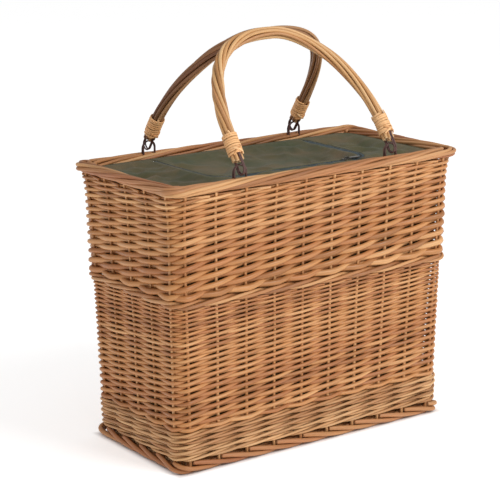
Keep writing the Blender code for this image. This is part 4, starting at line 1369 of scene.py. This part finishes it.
def cooler_bag():
    bag = Bag()
    surface = Surface(*hang_top(bag))
    bag_trim = zip_side("bag", bag, surface, 1, "basket")
    flap_trim = zip_side("lid", bag, surface, -1, "lid")
    top_cloth(bag, surface, [*bag_trim, piping(bag)])
    flap(bag, surface, flap_trim)
    bag_walls()


def slider_and_pull():
    """The solids of the slider and its pull, with rounded edges."""
    for node in ("zip_slider", "zip_pull"):
        solid = frame["nodes"][node]
        solid.data.materials.clear()
        solid.data.materials.append(zip_metal_finish)
        edge = solid.modifiers.new("edge", "BEVEL")
        edge.width = METAL_EDGE
        edge.segments = 2


# Studio and camera

def studio():
    """White floor, white surroundings and two soft lights."""
    bpy.ops.mesh.primitive_plane_add(size=FLOOR_SIZE, location=(0, 0, cad_bounds[0].z))
    floor = bpy.context.object
    floor.name = "floor"
    floor.data.materials.append(white_paper())
    world = bpy.data.worlds.new("studio")
    bpy.context.scene.world = world
    world.use_nodes = True
    background = world.node_tree.nodes["Background"]
    background.inputs[0].default_value = (1, 1, 1, 1)
    background.inputs[1].default_value = BACKGROUND
    for name, location, size, power in LIGHTS:
        light = bpy.data.lights.new(name, "AREA")
        light.size = size
        light.energy = power
        holder = bpy.data.objects.new(name, light)
        bpy.context.scene.collection.objects.link(holder)
        holder.location = location
        toward = Vector(LIGHT_TARGET) - Vector(location)
        holder.rotation_euler = toward.to_track_quat("-Z", "Y").to_euler()
    bpy.context.scene.view_settings.view_transform = "Standard"


def camera():
    """The camera at the photograph's place."""
    azimuth = math.radians(CAMERA_AZIMUTH)
    elevation = math.radians(CAMERA_ELEVATION)
    flat = math.cos(elevation)
    back = Vector((math.sin(azimuth) * flat, -math.cos(azimuth) * flat, math.sin(elevation)))
    data = bpy.data.cameras.new("camera")
    data.sensor_width = SENSOR_WIDTH
    data.lens = SENSOR_WIDTH * FOCAL_PIXELS / IMAGE_PIXELS
    holder = bpy.data.objects.new("camera", data)
    bpy.context.scene.collection.objects.link(holder)
    holder.location = Vector(CAMERA_TARGET) + back * CAMERA_DISTANCE
    roll = Quaternion((0, 0, 1), math.radians(CAMERA_ROLL))
    holder.rotation_euler = ((-back).to_track_quat("-Z", "Y") @ roll).to_euler()
    bpy.context.scene.camera = holder


camera()
studio()
buff_willow_finish = buff_willow()
border_willow_finish = border_willow()
upsett_willow_finish = upsett_willow()
handle_willow_finish = handle_willow()
rear_shaded_willow_finish = rear_handle_willow()
cane_finish = cane()
wire_finish = dark_wire()
tweed_finish = tweed()
tape_finish = twill_tape()
thread_finish = thread()
lining_finish = silver()
foam_finish = foam()
zip_metal_finish = metal("zip_metal", (92, 90, 86), (150, 147, 140))
teeth_finish = metal("zip_teeth", (64, 70, 72), (118, 122, 120))

stakes()
randing("lower_weavers", "lower_weave", LOWER_ROUNDS, LOWER_BUTT_SHARE)
randing("upper_weavers", "upper_weave", UPPER_ROUNDS, UPPER_BUTT_SHARE)
waling("upsett_rods", "upsett_wale", UPSETT_COURSES, upsett_willow_finish)
waling("waist_rods", "waist_wale", 1, border_willow_finish)
border()
foot()
base_weave()
handles()
cooler_bag()
slider_and_pull()
